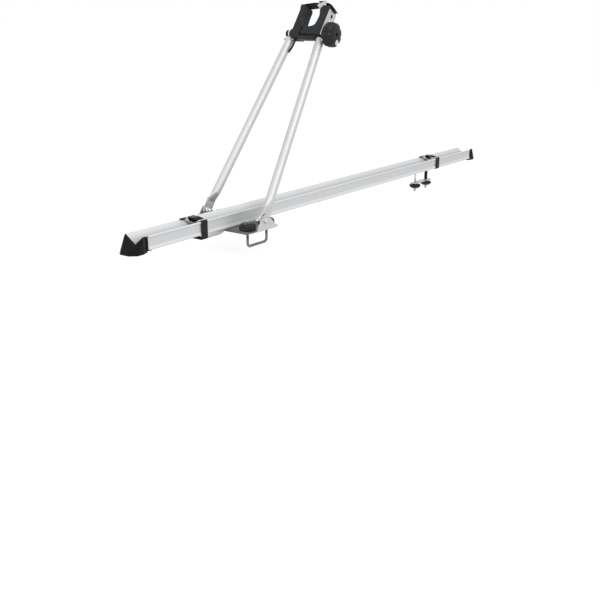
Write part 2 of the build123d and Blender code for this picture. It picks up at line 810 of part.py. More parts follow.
# Near jaw: slides on the clamp bolt, faced by the slotted plate
near_face = contour(near_shares, near_low, near_top, -near_outer, -pad_thickness)
with BuildPart() as near_jaw:
    with BuildSketch(head_plane):
        with BuildLine():
            face = Spline(near_face)
            Polyline(
                face @ 1,
                (near_top, -near_outer),
                (near_low + pad_thickness, -near_outer),
                (near_low, pad_thickness - near_outer),
                (near_low, foot_end),
                (foot_top - pad_thickness, foot_end),
                face @ 0,
            )
        make_face()
    extrude(amount=half_depth, both=True)
    with BuildSketch(facing_side(-near_outer, clamp_reach)):
        Circle(clamp_radius + running_gap)
    extrude(amount=near_outer + foot_end, mode=Mode.SUBTRACT)
    for reach in jaw_screw_reaches:
        with BuildSketch(facing_side(-near_outer, reach)):
            Circle(jaw_screw_radius)
        extrude(amount=jaw_screw_length, mode=Mode.SUBTRACT)
near_jaw.part.label = "near_jaw"
export_step(near_jaw.part, "parts/near_jaw.step")

with BuildPart() as near_pad:
    with BuildSketch(head_plane):
        with BuildLine():
            back = Spline(near_face)
            front = Spline(contour(near_shares, near_low, near_top, -near_outer))
            Line(back @ 0, front @ 0)
            Line(back @ 1, front @ 1)
        make_face()
    extrude(amount=half_depth, both=True)
    add(band(near_low, near_top, near_pad_shares), mode=Mode.INTERSECT)
near_pad.part.label = "near_jaw_pad"
export_step(near_pad.part, "parts/near_jaw_pad.step")

plate_seat = facing_side(-near_outer, to_far=False)
plate_face = near_outer + jaw_plate_thickness
with BuildPart() as jaw_plate:
    with BuildSketch(plate_seat):
        with Locations(((near_low + jaw_plate_top) / 2, 0)):
            RectangleRounded(jaw_plate_length, jaw_plate_width, jaw_plate_corner)
        with Locations((jaw_slot_reach, 0)):
            Rectangle(jaw_slot_length, jaw_slot_width, mode=Mode.SUBTRACT)
        with Locations((clamp_reach, 0)):
            Circle(clamp_radius + fit_gap, mode=Mode.SUBTRACT)
        with Locations([(reach, 0) for reach in jaw_screw_reaches]):
            Circle(jaw_screw_radius, mode=Mode.SUBTRACT)
    extrude(amount=jaw_plate_thickness)
jaw_plate.part.label = "jaw_plate"
export_step(jaw_plate.part, "parts/jaw_plate.step")

with BuildPart() as jaw_screws:
    for reach in jaw_screw_reaches:
        screw_seat = facing_side(-plate_face, reach)
        with BuildSketch(screw_seat):
            Circle(jaw_screw_radius)
        extrude(amount=jaw_screw_length)
        with BuildSketch(screw_seat):
            Circle(jaw_screw_head_radius)
        extrude(amount=-jaw_screw_head_thickness)
jaw_screws.part.label = "jaw_screws"
export_step(jaw_screws.part, "parts/jaw_screws.step")

# Clamp bolt: held at the far jaw under a cap and a spacer, it ends inside the big knob
spacer_face = far_boss + spacer_thickness
neck_face = plate_face + grip_gap
clamp_tip = neck_face + thread_depth
clamp_head_width = 3.2 * clamp_radius
clamp_head_thickness = 1.3 * clamp_radius
clamp_seat = facing_side(spacer_face, clamp_reach, to_far=False)
clamp_bolt = hex_bolt(clamp_seat, clamp_radius, spacer_face + clamp_tip, clamp_head_width,
                      clamp_head_thickness)
clamp_bolt.label = "clamp_bolt"
export_step(clamp_bolt, "parts/clamp_bolt.step")

spacer = disc(facing_side(far_boss, clamp_reach), spacer_radius, spacer_thickness, clamp_radius + fit_gap)
spacer.label = "bolt_spacer"
export_step(spacer, "parts/bolt_spacer.step")

with BuildPart() as bolt_cap:
    with BuildSketch(facing_side(spacer_face, clamp_reach)):
        Circle(clamp_cap_radius)
    extrude(amount=clamp_cap_thickness)
    crown_edge = bolt_cap.edges().sort_by(Axis.Y)[-1]
    fillet(crown_edge, clamp_cap_thickness / 4)
    with BuildSketch(facing_side(spacer_face, clamp_reach)):
        RegularPolygon(clamp_head_width / 2 + fit_gap, 6, major_radius=False)
    extrude(amount=clamp_head_thickness + fit_gap, mode=Mode.SUBTRACT)
bolt_cap.part.label = "bolt_cap"
export_step(bolt_cap.part, "parts/bolt_cap.step")

# Big knob: a neck, a scalloped skirt and a dome, with a steel insert and a lock cylinder
grip_face = neck_face + grip_neck_length
grip_top = grip_face + grip_skirt + grip_dome
lock_reach = clamp_reach - lock_offset_a
lock_face = grip_top - lock_proud
insert_seat = facing_side(-neck_face, clamp_reach, to_far=False)
lock_seat = facing_side(lock_depth - lock_face, lock_reach, -lock_offset_n, to_far=False)
with BuildPart() as grip:
    add(lobed_knob(facing_side(-grip_face, clamp_reach, to_far=False), grip_radius, grip_skirt,
                   grip_skirt + grip_dome, grip_radius / 4, grip_lobes, grip_scallop_radius,
                   grip_scallop_depth, 0))
    with BuildSketch(insert_seat):
        Circle(grip_neck_radius)
    extrude(amount=grip_neck_length)
    with BuildSketch(insert_seat):
        Circle(insert_radius)
    extrude(amount=insert_length, mode=Mode.SUBTRACT)
    with BuildSketch(insert_seat):
        Circle(insert_flange_radius)
    extrude(amount=insert_flange_thickness, mode=Mode.SUBTRACT)
    with BuildSketch(insert_seat):
        Circle(clamp_radius + running_gap)
    extrude(amount=thread_depth + running_gap, mode=Mode.SUBTRACT)
    with BuildSketch(facing_side(-grip_top, clamp_reach)):
        Circle(grip_pole_radius)
    extrude(amount=grip_pole_depth, mode=Mode.SUBTRACT)
    with BuildSketch(lock_seat):
        Circle(lock_radius + fit_gap)
    extrude(amount=lock_depth + overrun, mode=Mode.SUBTRACT)
grip.part.label = "clamp_knob"
export_step(grip.part, "parts/clamp_knob.step")

with BuildPart() as insert:
    with BuildSketch(insert_seat):
        Circle(insert_radius)
    extrude(amount=insert_length)
    with BuildSketch(insert_seat):
        Circle(insert_flange_radius)
    extrude(amount=insert_flange_thickness)
    with BuildSketch(insert_seat):
        Circle(clamp_radius + fit_gap)
    extrude(amount=insert_length, mode=Mode.SUBTRACT)
insert.part.label = "knob_insert"
export_step(insert.part, "parts/knob_insert.step")

with BuildPart() as lock:
    with BuildSketch(lock_seat):
        Circle(lock_radius)
    extrude(amount=lock_depth)
    with BuildSketch(lock_seat.offset(lock_depth)):
        Rectangle(keyway_length, keyway_width)
    extrude(amount=-keyway_depth, mode=Mode.SUBTRACT)
lock.part.label = "lock_cylinder"
export_step(lock.part, "parts/lock_cylinder.step")


def webbing(plane, points, radii, width, thickness=webbing_thickness):
    """A band of webbing that follows a path on a plane, as wide as given across the plane."""
    with BuildPart() as strip:
        with BuildSketch(plane):
            with BuildLine() as path:
                FilletPolyline(*points, radius=radii)
            trace(path.edges(), thickness)
        extrude(amount=width / 2, both=True)
    return strip.part


# Head strap over the jaws' tops, its buckle on the near jaw, and the two loose ends
half_web = webbing_thickness / 2
strap_outside = far_outer + far_lip + half_web
head_strap = webbing(
    head_plane,
    [
        (strap_anchor, strap_outside),
        (far_top + half_web, strap_outside),
        (strap_crown, yoke_inner),
        (strap_crown - webbing_thickness, -strap_end),
    ],
    [webbing_fold, 5 * webbing_thickness],
    head_webbing_width,
)
head_strap.label = "head_strap"
export_step(head_strap, "parts/head_strap.step")

head_pin_reach = near_top + head_pin_rise
flap_start = head_pin_reach + head_pin_radius + fit_gap + half_web
flap = webbing(
    head_plane,
    [
        (flap_start - (flap_start - flap_low) * drop, -head_pin_y - (flap_reach - head_pin_y) * reach)
        for drop, reach in flap_shares
    ],
    [5 * webbing_thickness, 5 * webbing_thickness],
    head_webbing_width,
)
flap.label = "strap_flap"
export_step(flap, "parts/strap_flap.step")

tail_strip = webbing(
    head_plane,
    [
        (yoke_back_low - fit_gap, tail_strip_y),
        ((yoke_back_low + tail_strip_low) / 2, tail_strip_y + webbing_thickness / 4),
        (tail_strip_low, tail_strip_y + tail_strip_flare),
    ],
    [10 * webbing_thickness],
    tail_strip_width,
)
tail_strip.label = "strap_tail"
export_step(tail_strip, "parts/strap_tail.step")

half_buckle = buckle_width / 2
head_cheek_out = half_buckle - buckle_frame_thickness
with BuildPart() as head_frame:
    with BuildSketch(head_plane):
        with Locations((near_top, -buckle_near)):
            Rectangle(buckle_frame_thickness, buckle_near - buckle_far, align=(Align.MIN, Align.MIN))
    extrude(amount=half_buckle, both=True)
    for side in (-1, 1):
        with BuildSketch(head_plane.offset(side * head_cheek_out)):
            with BuildLine():
                Polyline(
                    (near_top, -buckle_near),
                    (near_top + buckle_cheek, -buckle_near + buckle_frame_thickness),
                    (near_top + buckle_cheek, -head_pin_y + 2 * head_pin_radius),
                    (near_top + 2 * buckle_frame_thickness, -buckle_far),
                    (near_top, -buckle_far),
                    close=True,
                )
            make_face()
            with Locations((head_pin_reach, -head_pin_y)):
                Circle(head_pin_radius + fit_gap, mode=Mode.SUBTRACT)
        extrude(amount=side * buckle_frame_thickness)
head_frame.part.label = "head_buckle_frame"
export_step(head_frame.part, "parts/head_buckle_frame.step")

with BuildPart() as head_pin:
    with BuildSketch(head_plane):
        with Locations((head_pin_reach, -head_pin_y)):
            Circle(head_pin_radius)
    extrude(amount=half_buckle, both=True)
head_pin.part.label = "head_buckle_pin"
export_step(head_pin.part, "parts/head_buckle_pin.step")

lever_plate_reach = near_top + head_lever_rise
lever_half = head_cheek_out - running_gap
with BuildPart() as head_lever:
    with BuildSketch(head_plane):
        with Locations((lever_plate_reach, -head_pin_y - head_lever_boss)):
            Rectangle(head_lever_thickness, head_lever_boss + head_lever_reach, align=(Align.MIN, Align.MIN))
    extrude(amount=lever_half, both=True)
    slot_half = head_webbing_width / 2 + running_gap
    with BuildSketch(head_plane):
        with Locations((lever_plate_reach, -head_pin_y - head_lever_boss)):
            Rectangle(head_lever_thickness, head_lever_boss + head_lever_slot, align=(Align.MIN, Align.MIN))
    extrude(amount=slot_half, both=True, mode=Mode.SUBTRACT)
    arm_thickness = lever_half - slot_half
    for side in (-1, 1):
        with BuildSketch(head_plane.offset(side * lever_half)):
            with Locations((head_pin_reach, -head_pin_y)):
                Circle(head_lever_boss)
                Rectangle(lever_plate_reach - head_pin_reach + head_lever_thickness, 2 * head_lever_boss,
                          align=(Align.MIN, Align.CENTER))
                Circle(head_pin_radius + fit_gap, mode=Mode.SUBTRACT)
        extrude(amount=-side * arm_thickness)
head_lever.part.label = "head_buckle_lever"
export_step(head_lever.part, "parts/head_buckle_lever.step")

# Wheel straps: a band round the rail, closed by a lever buckle in the channel
plate_rise = wheel_plate_far_height - wheel_plate_near_height
plate_slope_share = plate_rise / (wheel_plate_far + wheel_plate_near)
strap_side = half_width + running_gap + half_web


def buckle_floor(y):
    """Height of the middle of the buckle's plate at a distance across the rail."""
    return wheel_plate_near_height + plate_slope_share * (y + wheel_plate_near)


plate_to_web = wheel_plate_thickness / 2 + half_web + webbing_lift
for name, strap_x, under in (
    ("front", front_strap_x, skirt_depth),
    ("rear", rear_strap_x, 0),
):
    across_rail = Plane(origin=(strap_x, 0, rail_z), x_dir=(0, 1, 0), z_dir=(1, 0, 0))
    strap_low = -(under + running_gap + half_web)
    inner_end = wheel_pin_y - wheel_plate_near
    wheel_strap = webbing(
        across_rail,
        [
            (-wheel_plate_near + webbing_thickness,
             buckle_floor(-wheel_plate_near + webbing_thickness) + plate_to_web),
            (-strap_dip_y, strap_lift),
            (-strap_side, strap_lift),
            (-strap_side, strap_low),
            (strap_side, strap_low),
            (strap_side, strap_lift),
            (strap_dip_y, strap_lift),
            (wheel_pin_y, buckle_floor(wheel_pin_y) + plate_to_web),
            (inner_end, buckle_floor(inner_end) + plate_to_web),
        ],
        [webbing_thickness] * 7,
        wheel_webbing_width,
    )
    with BuildPart() as wheel_band:
        add(wheel_strap)
        # Loose tail that sticks out beside the buckle over the far lip
        with BuildSketch(Plane.XY.offset(rail_z + strap_lift - half_web)):
            with Locations((strap_x - wheel_webbing_width / 2 + webbing_thickness, strap_side - half_web)):
                Rectangle(tail_length, tail_width, align=(Align.MAX, Align.MAX))
        extrude(amount=webbing_thickness)
    wheel_band.part.label = f"{name}_wheel_strap"
    export_step(wheel_band.part, f"parts/{name}_wheel_strap.step")

    half_frame = wheel_frame_width / 2
    cheek_out = half_frame - wheel_plate_thickness
    half_plate = wheel_plate_thickness / 2
    with BuildPart() as wheel_frame:
        with BuildSketch(across_rail):
            with BuildLine():
                Polyline(
                    (-wheel_plate_near, wheel_plate_near_height - half_plate),
                    (wheel_plate_far, wheel_plate_far_height - half_plate),
                    (wheel_plate_far, wheel_plate_far_height + half_plate),
                    (-wheel_plate_near, wheel_plate_near_height + half_plate),
                    close=True,
                )
            make_face()
        extrude(amount=half_frame, both=True)
        for side in (-1, 1):
            with BuildSketch(across_rail.offset(side * cheek_out)):
                with BuildLine():
                    Polyline(
                        (wheel_pin_y - wheel_cheek, buckle_floor(wheel_pin_y - wheel_cheek)),
                        (wheel_plate_far, wheel_plate_far_height),
                        (wheel_pin_y + wheel_lever_boss, buckle_floor(wheel_pin_y) + wheel_cheek),
                        (wheel_pin_y - wheel_lever_boss, buckle_floor(wheel_pin_y) + wheel_cheek),
                        close=True,
                    )
                make_face()
                with Locations((wheel_pin_y, wheel_pin_height)):
                    Circle(wheel_pin_radius + fit_gap, mode=Mode.SUBTRACT)
            extrude(amount=side * wheel_plate_thickness)
    wheel_frame.part.label = f"{name}_buckle_frame"
    export_step(wheel_frame.part, f"parts/{name}_buckle_frame.step")

    with BuildPart() as wheel_pin:
        with BuildSketch(across_rail):
            with Locations((wheel_pin_y, wheel_pin_height)):
                Circle(wheel_pin_radius)
        extrude(amount=half_frame, both=True)
    wheel_pin.part.label = f"{name}_buckle_pin"
    export_step(wheel_pin.part, f"parts/{name}_buckle_pin.step")

    lever_flat = wheel_pin_height + wheel_lever_boss - wheel_lever_thickness / 2
    with BuildPart() as wheel_lever:
        with BuildSketch(across_rail):
            with BuildLine() as sag:
                FilletPolyline(
                    (wheel_pin_y, lever_flat),
                    (wheel_pin_y - wheel_lever_reach / 2, lever_flat),
                    (wheel_pin_y - wheel_lever_reach, lever_flat - wheel_lever_dip),
                    radius=wheel_lever_reach / 3,
                )
            trace(sag.edges(), wheel_lever_thickness)
            with Locations((wheel_pin_y, wheel_pin_height)):
                Circle(wheel_lever_boss)
                Circle(wheel_pin_radius + fit_gap, mode=Mode.SUBTRACT)
        extrude(amount=cheek_out - running_gap, both=True)
    wheel_lever.part.label = f"{name}_buckle_lever"
    export_step(wheel_lever.part, f"parts/{name}_buckle_lever.step")

# Rear clamp: two T bolts hang from the slot and carry a strip on two knobs
rear_rods = (rear_front_rod_x, rear_front_rod_x + rear_rod_span)
for name, rod_x in zip(("front", "rear"), rear_rods):
    with BuildPart() as t_bolt:
        with BuildSketch(Plane.XY.offset(slot_head_z)):
            with Locations((rod_x, 0)):
                Rectangle(slot_head_side, slot_head_side)
        extrude(amount=slot_head_thickness)
        with BuildSketch(Plane.XY.offset(slot_head_z)):
            with Locations((rod_x, 0)):
                Circle(rear_rod_radius)
        extrude(amount=-(slot_head_z + rear_rod_tip))
        chamfer(t_bolt.edges().sort_by(Axis.Z)[0], rear_rod_radius / 4)
    t_bolt.part.label = f"rear_clamp_{name}_bolt"
    export_step(t_bolt.part, f"parts/rear_clamp_{name}_bolt.step")

strip_low_z = -strip_height - strip_thickness
with BuildPart() as strip:
    with BuildSketch(Plane.XY.offset(strip_low_z)):
        with Locations((sum(rear_rods) / 2 + strip_shift, 0)):
            RectangleRounded(strip_length, strip_width, strip_corner)
        with Locations(*[(rod_x, 0) for rod_x in rear_rods]):
            Circle(rear_rod_radius + running_gap, mode=Mode.SUBTRACT)
    extrude(amount=strip_thickness)
strip.part.label = "rear_clamp_strip"
export_step(strip.part, "parts/rear_clamp_strip.step")

with BuildPart() as sleeve:
    with BuildSketch(Plane.XY.offset(rail_z - running_gap)):
        with Locations((rear_rods[1], 0)):
            Circle(sleeve_radius)
    extrude(amount=running_gap - rail_z - sleeve_drop)
    with BuildSketch(Plane.XY.offset(rail_z - running_gap)):
        with Locations((rear_rods[1], 0)):
            Circle(sleeve_flange_radius)
    extrude(amount=-sleeve_flange_thickness)
    with BuildSketch(Plane.XY.offset(rail_z)):
        with Locations((rear_rods[1], 0)):
            Circle(rear_rod_radius + fit_gap)
    extrude(amount=-(rail_z + sleeve_drop + overrun), mode=Mode.SUBTRACT)
sleeve.part.label = "rear_clamp_sleeve"
export_step(sleeve.part, "parts/rear_clamp_sleeve.step")

rear_knob_z = strip_low_z - running_gap
for name, rod_x in zip(("front", "rear"), rear_rods):
    with BuildPart() as rear_knob:
        with BuildSketch(at_height(rod_x, 0, rear_knob_z, up=False)):
            Circle(rear_knob_hub_radius)
        extrude(amount=rear_knob_hub)
        disc_seat = at_height(rod_x, 0, rear_knob_z - rear_knob_hub, up=False)
        with BuildSketch(disc_seat):
            Circle(rear_knob_radius)
            with PolarLocations(rear_knob_radius + knob_scallop_radius - knob_scallop_depth, knob_lobes):
                Circle(knob_scallop_radius, mode=Mode.SUBTRACT)
        extrude(amount=rear_knob_disc)
        with BuildSketch(disc_seat.offset(rear_knob_disc)):
            Circle(rear_knob_radius - knob_scallop_depth)
        with BuildSketch(disc_seat.offset(rear_knob_disc + rear_knob_taper)):
            Circle(rear_knob_small_radius)
        loft()
        with BuildSketch(at_height(rod_x, 0, rear_knob_z, up=False)):
            Circle(rear_rod_radius + fit_gap)
        extrude(amount=rear_knob_hub + rear_knob_disc + rear_knob_taper, mode=Mode.SUBTRACT)
    rear_knob.part.label = f"rear_clamp_{name}_knob"
    export_step(rear_knob.part, f"parts/rear_clamp_{name}_knob.step")
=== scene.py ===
import json
import math
from contextlib import contextmanager

import bpy
from mathutils import Matrix, Vector


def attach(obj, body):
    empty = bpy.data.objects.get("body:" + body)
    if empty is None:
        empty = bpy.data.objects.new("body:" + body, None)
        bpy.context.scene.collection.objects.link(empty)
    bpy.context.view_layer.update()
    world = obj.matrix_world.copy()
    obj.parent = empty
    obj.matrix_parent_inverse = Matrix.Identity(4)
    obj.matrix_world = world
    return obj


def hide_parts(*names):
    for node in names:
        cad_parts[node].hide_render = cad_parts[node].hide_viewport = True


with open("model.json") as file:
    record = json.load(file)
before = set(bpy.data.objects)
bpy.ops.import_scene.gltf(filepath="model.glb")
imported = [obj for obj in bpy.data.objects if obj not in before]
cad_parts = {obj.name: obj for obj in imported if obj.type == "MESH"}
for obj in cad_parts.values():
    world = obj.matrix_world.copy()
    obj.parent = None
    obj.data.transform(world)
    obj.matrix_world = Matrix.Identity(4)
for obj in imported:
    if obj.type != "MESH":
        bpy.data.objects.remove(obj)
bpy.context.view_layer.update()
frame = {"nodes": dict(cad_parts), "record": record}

MM = 0.001
FULL_TURN = 2 * math.pi
# Faces that meet under these angles in degrees shade as one: crisp on metal, soft on mouldings
CRISP, SOFT = 35, 60
NOTHING = Matrix.Identity(4)

# The arm frame: x along the arms from their pivots, y across the rail, z out of the arms' plane
LEAN = math.radians(54.4)
ALONG = Vector((math.cos(LEAN), 0, math.sin(LEAN)))
OUTWARD = Vector((-math.sin(LEAN), 0, math.cos(LEAN)))
PIVOT_X, PIVOT_Z = 2.5, 21.5
PIVOT = Vector((PIVOT_X, 0, PIVOT_Z)) * MM
HEAD = Matrix.Translation(PIVOT) @ Matrix((ALONG, (0, 1, 0), OUTWARD)).transposed().to_4x4()


# ---------------------------------------------------------------- finishes


class Signal:
    """A socket of a finish, on which arithmetic adds Math nodes."""

    def __init__(self, tree, socket):
        self.tree = tree
        self.socket = socket

    def math(self, operation, *values):
        return self.tree.node("ShaderNodeMath", {"operation": operation}, dict(enumerate(values)))

    def __add__(self, other):
        return self.math("ADD", self, other)

    def __radd__(self, other):
        return self.math("ADD", other, self)

    def __sub__(self, other):
        return self.math("SUBTRACT", self, other)

    def __rsub__(self, other):
        return self.math("SUBTRACT", other, self)

    def __mul__(self, other):
        return self.math("MULTIPLY", self, other)

    def __rmul__(self, other):
        return self.math("MULTIPLY", other, self)

    def __pow__(self, other):
        return self.math("POWER", self, other)

    def __abs__(self):
        return self.math("ABSOLUTE", self)

    def sine(self):
        return self.math("SINE", self)

    def floor(self):
        return self.math("FLOOR", self)

    def ramp(self, low, high):
        """0 below low, 1 above high and straight between them."""
        settings = {"interpolation_type": "SMOOTHSTEP"}
        return self.tree.node("ShaderNodeMapRange", settings, {"Value": self, 1: low, 2: high})


class Tree:
    """A node tree whose nodes all come from one method."""

    def __init__(self, nodes, links):
        self.nodes = nodes
        self.links = links

    def node(self, kind, settings=None, inputs=None, output=0):
        made = self.nodes.new(kind)
        for key, value in (settings or {}).items():
            setattr(made, key, value)
        for key, value in (inputs or {}).items():
            self.plug(made.inputs[key], value)
        return Signal(self, made.outputs[output])

    def plug(self, socket, value):
        if isinstance(value, Signal):
            self.links.new(value.socket, socket)
        else:
            socket.default_value = value

    def place(self, scale=(1, 1, 1), turn=(0, 0, 0)):
        """Object coordinates, turned to a grain's direction and then divided into its sizes."""
        spot = self.node("ShaderNodeTexCoord", output="Object")
        sizes = tuple(MM * size for size in scale)
        inputs = {"Vector": spot, "Rotation": turn, "Scale": sizes}
        return self.node("ShaderNodeMapping", {"vector_type": "TEXTURE"}, inputs)

    def noise(self, where, detail=2.0, roughness=0.5):
        inputs = {"Vector": where, "Scale": 1.0, "Detail": detail, "Roughness": roughness}
        return self.node("ShaderNodeTexNoise", {}, inputs)

    def blend(self, mask, low, high):
        """A colour between two by a mask."""
        inputs = {0: mask, 6: low, 7: high}
        return self.node("ShaderNodeMix", {"data_type": "RGBA"}, inputs, output=2)

    def relief(self, height, depth, under=None):
        """A bump whose full height is a depth in millimetres."""
        inputs = {"Height": height, "Distance": depth * MM}
        if under:
            inputs["Normal"] = under
        return self.node("ShaderNodeBump", {}, inputs)

    def worn_edges(self, low=0.53, high=0.6):
        """1 where the surface turns sharply outwards."""
        return self.node("ShaderNodeNewGeometry", output="Pointiness").ramp(low, high)


def grey(level, warmth=0.0):
    """An opaque colour of a grey level, a little warmer or cooler."""
    return (level * (1 + warmth), level, level * (1 - warmth), 1)


class Finish(Tree):
    """A material whose shader's plain sockets are set and whose varying ones are fed."""

    def __init__(self, name, **plain):
        self.material = bpy.data.materials.new(name)
        self.material.use_nodes = True
        super().__init__(self.material.node_tree.nodes, self.material.node_tree.links)
        self.shader = self.nodes["Principled BSDF"]
        for socket, value in plain.items():
            self.shader.inputs[socket.replace("_", " ")].default_value = value

    def feed(self, **signals):
        for socket, signal in signals.items():
            self.plug(self.shader.inputs[socket.replace("_", " ")], signal)


def extruded_aluminium():
    """Drawn lines along the rail; painted shade by height: a darker panel between the brighter lips
    and feet, a painted shadow line under the lips, a painted shade line along the foot and painted
    shade darkening the channel's floor towards its bottom.
    """
    finish = Finish("extruded_aluminium", Metallic=0.22, IOR=1.45, Specular_IOR_Level=0.2)
    lines = finish.noise(finish.place((260, 0.9, 0.9)), 3.0, 0.55)
    clouds = finish.noise(finish.place((120, 30, 30)), 2.0)
    spot = finish.node("ShaderNodeTexCoord", output="Object")
    parts = finish.node("ShaderNodeSeparateXYZ", inputs={"Vector": spot}).socket.node.outputs
    out = abs(Signal(finish, parts["Y"])) * (1 / MM)
    height = Signal(finish, parts["Z"]) * (1 / MM)
    outside = out.ramp(23.4, 24.0)
    below_lip = height.ramp(31.9, 31.5)
    # Painted shade: the recessed side panel, below the lips and above the feet, takes a darker copy
    # of the aluminium's tone
    panel_shade = outside * height.ramp(13.2, 13.8) * below_lip
    # Painted shadow: a thin dark line along the panel just under the lips
    lip_shadow = outside * height.ramp(30.4, 31.2) * below_lip
    # Painted shade: a dark line along the foot at the rail's bottom edge
    foot_shade = height.ramp(7.6, 6.4)
    # Painted shade: the channel's floor darkens towards the bottom of its V
    floor_shade = (1 - outside) * height.ramp(34.0, 17.0)
    tone = finish.blend(lines, grey(0.72, -0.012), grey(0.80, -0.008))
    # Painted shade on the side panel: the same drawn lines in a darker grey
    tone = finish.blend(panel_shade, tone, finish.blend(lines, grey(0.60, -0.014), grey(0.68, -0.010)))
    tone = finish.blend(floor_shade, tone, grey(0.40, -0.02))
    # Painted shadow line under the lips
    tone = finish.blend(lip_shadow * 0.8, tone, grey(0.36))
    # Painted shade line along the foot
    tone = finish.blend(foot_shade, tone, grey(0.44))
    finish.feed(
        Base_Color=tone,
        Roughness=0.50 + 0.1 * clouds + 0.04 * lines,
        Normal=finish.relief(lines, 0.012),
    )
    return finish.material


def drawn_tube():
    finish = Finish("drawn_tube", Metallic=0.92)
    lean = (0, -LEAN, 0)
    lines = finish.noise(finish.place((260, 60, 1.6), lean), 2.0, 0.5)
    clouds = finish.noise(finish.place((160, 60, 30), lean), 1.0)
    tone = finish.blend(lines, grey(0.54, -0.012), grey(0.62, -0.006))
    finish.feed(
        Base_Color=finish.blend(clouds.ramp(0.62, 0.8) * 0.25, tone, grey(0.42, -0.02)),
        Roughness=0.58 + 0.06 * clouds,
        Normal=finish.relief(lines, 0.003),
    )
    return finish.material


def zinc_plate():
    finish = Finish("zinc_plate", Metallic=0.95)
    spangle = finish.noise(finish.place((5, 5, 5)), 4.0, 0.6)
    fine = finish.noise(finish.place((0.5, 0.5, 0.5)), 2.0)
    tone = finish.blend(spangle.ramp(0.3, 0.7), grey(0.46, -0.02), grey(0.60, 0.0))
    finish.feed(
        Base_Color=finish.blend(finish.worn_edges() * 0.6, tone, grey(0.82)),
        Roughness=0.26 + 0.2 * spangle,
        Normal=finish.relief(fine, 0.02),
    )
    return finish.material


def dull_rod():
    finish = Finish("dull_rod", Metallic=0.95)
    scale_marks = finish.noise(finish.place((2.2, 2.2, 9)), 4.0, 0.6)
    fine = finish.noise(finish.place((0.4, 0.4, 0.4)), 2.0)
    finish.feed(
        Base_Color=finish.blend(scale_marks.ramp(0.3, 0.75), grey(0.16, 0.01), grey(0.28, 0.0)),
        Roughness=0.32 + 0.2 * scale_marks,
        Normal=finish.relief(fine, 0.02),
    )
    return finish.material


def powder_coat():
    finish = Finish("powder_coat", Specular_IOR_Level=0.35, Coat_Weight=0.1, Coat_Roughness=0.35)
    peel = finish.noise(finish.place((1.1, 1.1, 1.1)), 2.0)
    dust = finish.noise(finish.place((14, 14, 14)), 4.0, 0.65)
    tone = finish.blend(dust, grey(0.11), grey(0.17, 0.0))
    finish.feed(
        Base_Color=finish.blend(finish.worn_edges(0.56, 0.66) * 0.5, tone, grey(0.3)),
        Roughness=0.38 + 0.16 * dust,
        Normal=finish.relief(peel, 0.05),
    )
    return finish.material


def moulded_plastic(name, level, shine, gloss, grain=0.45, depth=0.03, cool=0.0):
    """A moulded plastic with a spark-eroded grain and edges that have gone a little paler."""
    finish = Finish(name, IOR=1.5, Specular_IOR_Level=gloss)
    grit = finish.noise(finish.place((grain, grain, grain)), 3.0, 0.6)
    flow = finish.noise(finish.place((16, 16, 16)), 3.0)
    tone = finish.blend(flow, grey(level * 0.8, -cool), grey(level * 1.3, -cool))
    finish.feed(
        Base_Color=finish.blend(finish.worn_edges(0.54, 0.64) * 0.4, tone, grey(level * 2, -cool)),
        Roughness=shine + 0.1 * flow,
        Normal=finish.relief(grit, depth),
    )
    return finish.material


def pad_rubber():
    finish = Finish("pad_rubber", IOR=1.5, Specular_IOR_Level=0.16)
    bloom = finish.noise(finish.place((9, 9, 9)), 4.0, 0.6)
    grit = finish.noise(finish.place((0.6, 0.6, 0.6)), 2.0)
    finish.feed(
        Base_Color=finish.blend(bloom.ramp(0.3, 0.7), grey(0.026, -0.22), grey(0.05, -0.18)),
        Roughness=0.55 + 0.2 * bloom,
        Normal=finish.relief(grit, 0.04),
    )
    return finish.material


def nylon_webbing():
    """A woven tape: chevrons of pitched yarns along its UV, which is in millimetres."""
    sheen = {"Sheen_Weight": 0.04, "Sheen_Roughness": 0.4}
    finish = Finish("nylon_webbing", Specular_IOR_Level=0.12, **sheen)
    spot = finish.node("ShaderNodeUVMap", {"uv_map": "run"})
    run = finish.node("ShaderNodeSeparateXYZ", inputs={"Vector": spot})
    across = Signal(finish, run.socket.node.outputs["Y"])
    yarn, pitch = 1.1, 1.5
    column = (across * (1 / yarn)).floor()
    half_column = column * 0.5
    slant = abs(half_column.math("FRACT", half_column) * 2 - 0.5)
    warp = abs((across * (math.pi / yarn)).sine())
    weft = abs((run * (math.pi / pitch) + column * 1.1 + slant).sine())
    weave = warp**0.6 * (0.45 + 0.55 * weft)
    fuzz = finish.noise(finish.place((0.25, 0.25, 0.25)), 2.0)
    fade = finish.noise(finish.place((12, 12, 12)), 3.0)
    finish.feed(
        Base_Color=finish.blend(weave * 0.8 + fade * 0.2, grey(0.006), grey(0.034, -0.02)),
        Roughness=0.62 + 0.2 * fuzz,
        Normal=finish.relief(fuzz, 0.02, finish.relief(weave, 0.22)),
    )
    return finish.material


def polished_chrome():
    finish = Finish("polished_chrome", Metallic=1.0)
    rub = finish.noise(finish.place((0.25, 6, 6)), 3.0, 0.6)
    finish.feed(
        Base_Color=finish.blend(rub, grey(0.78, -0.01), grey(0.88)),
        Roughness=0.1 + 0.12 * rub,
        Normal=finish.relief(rub, 0.006),
    )
    return finish.material


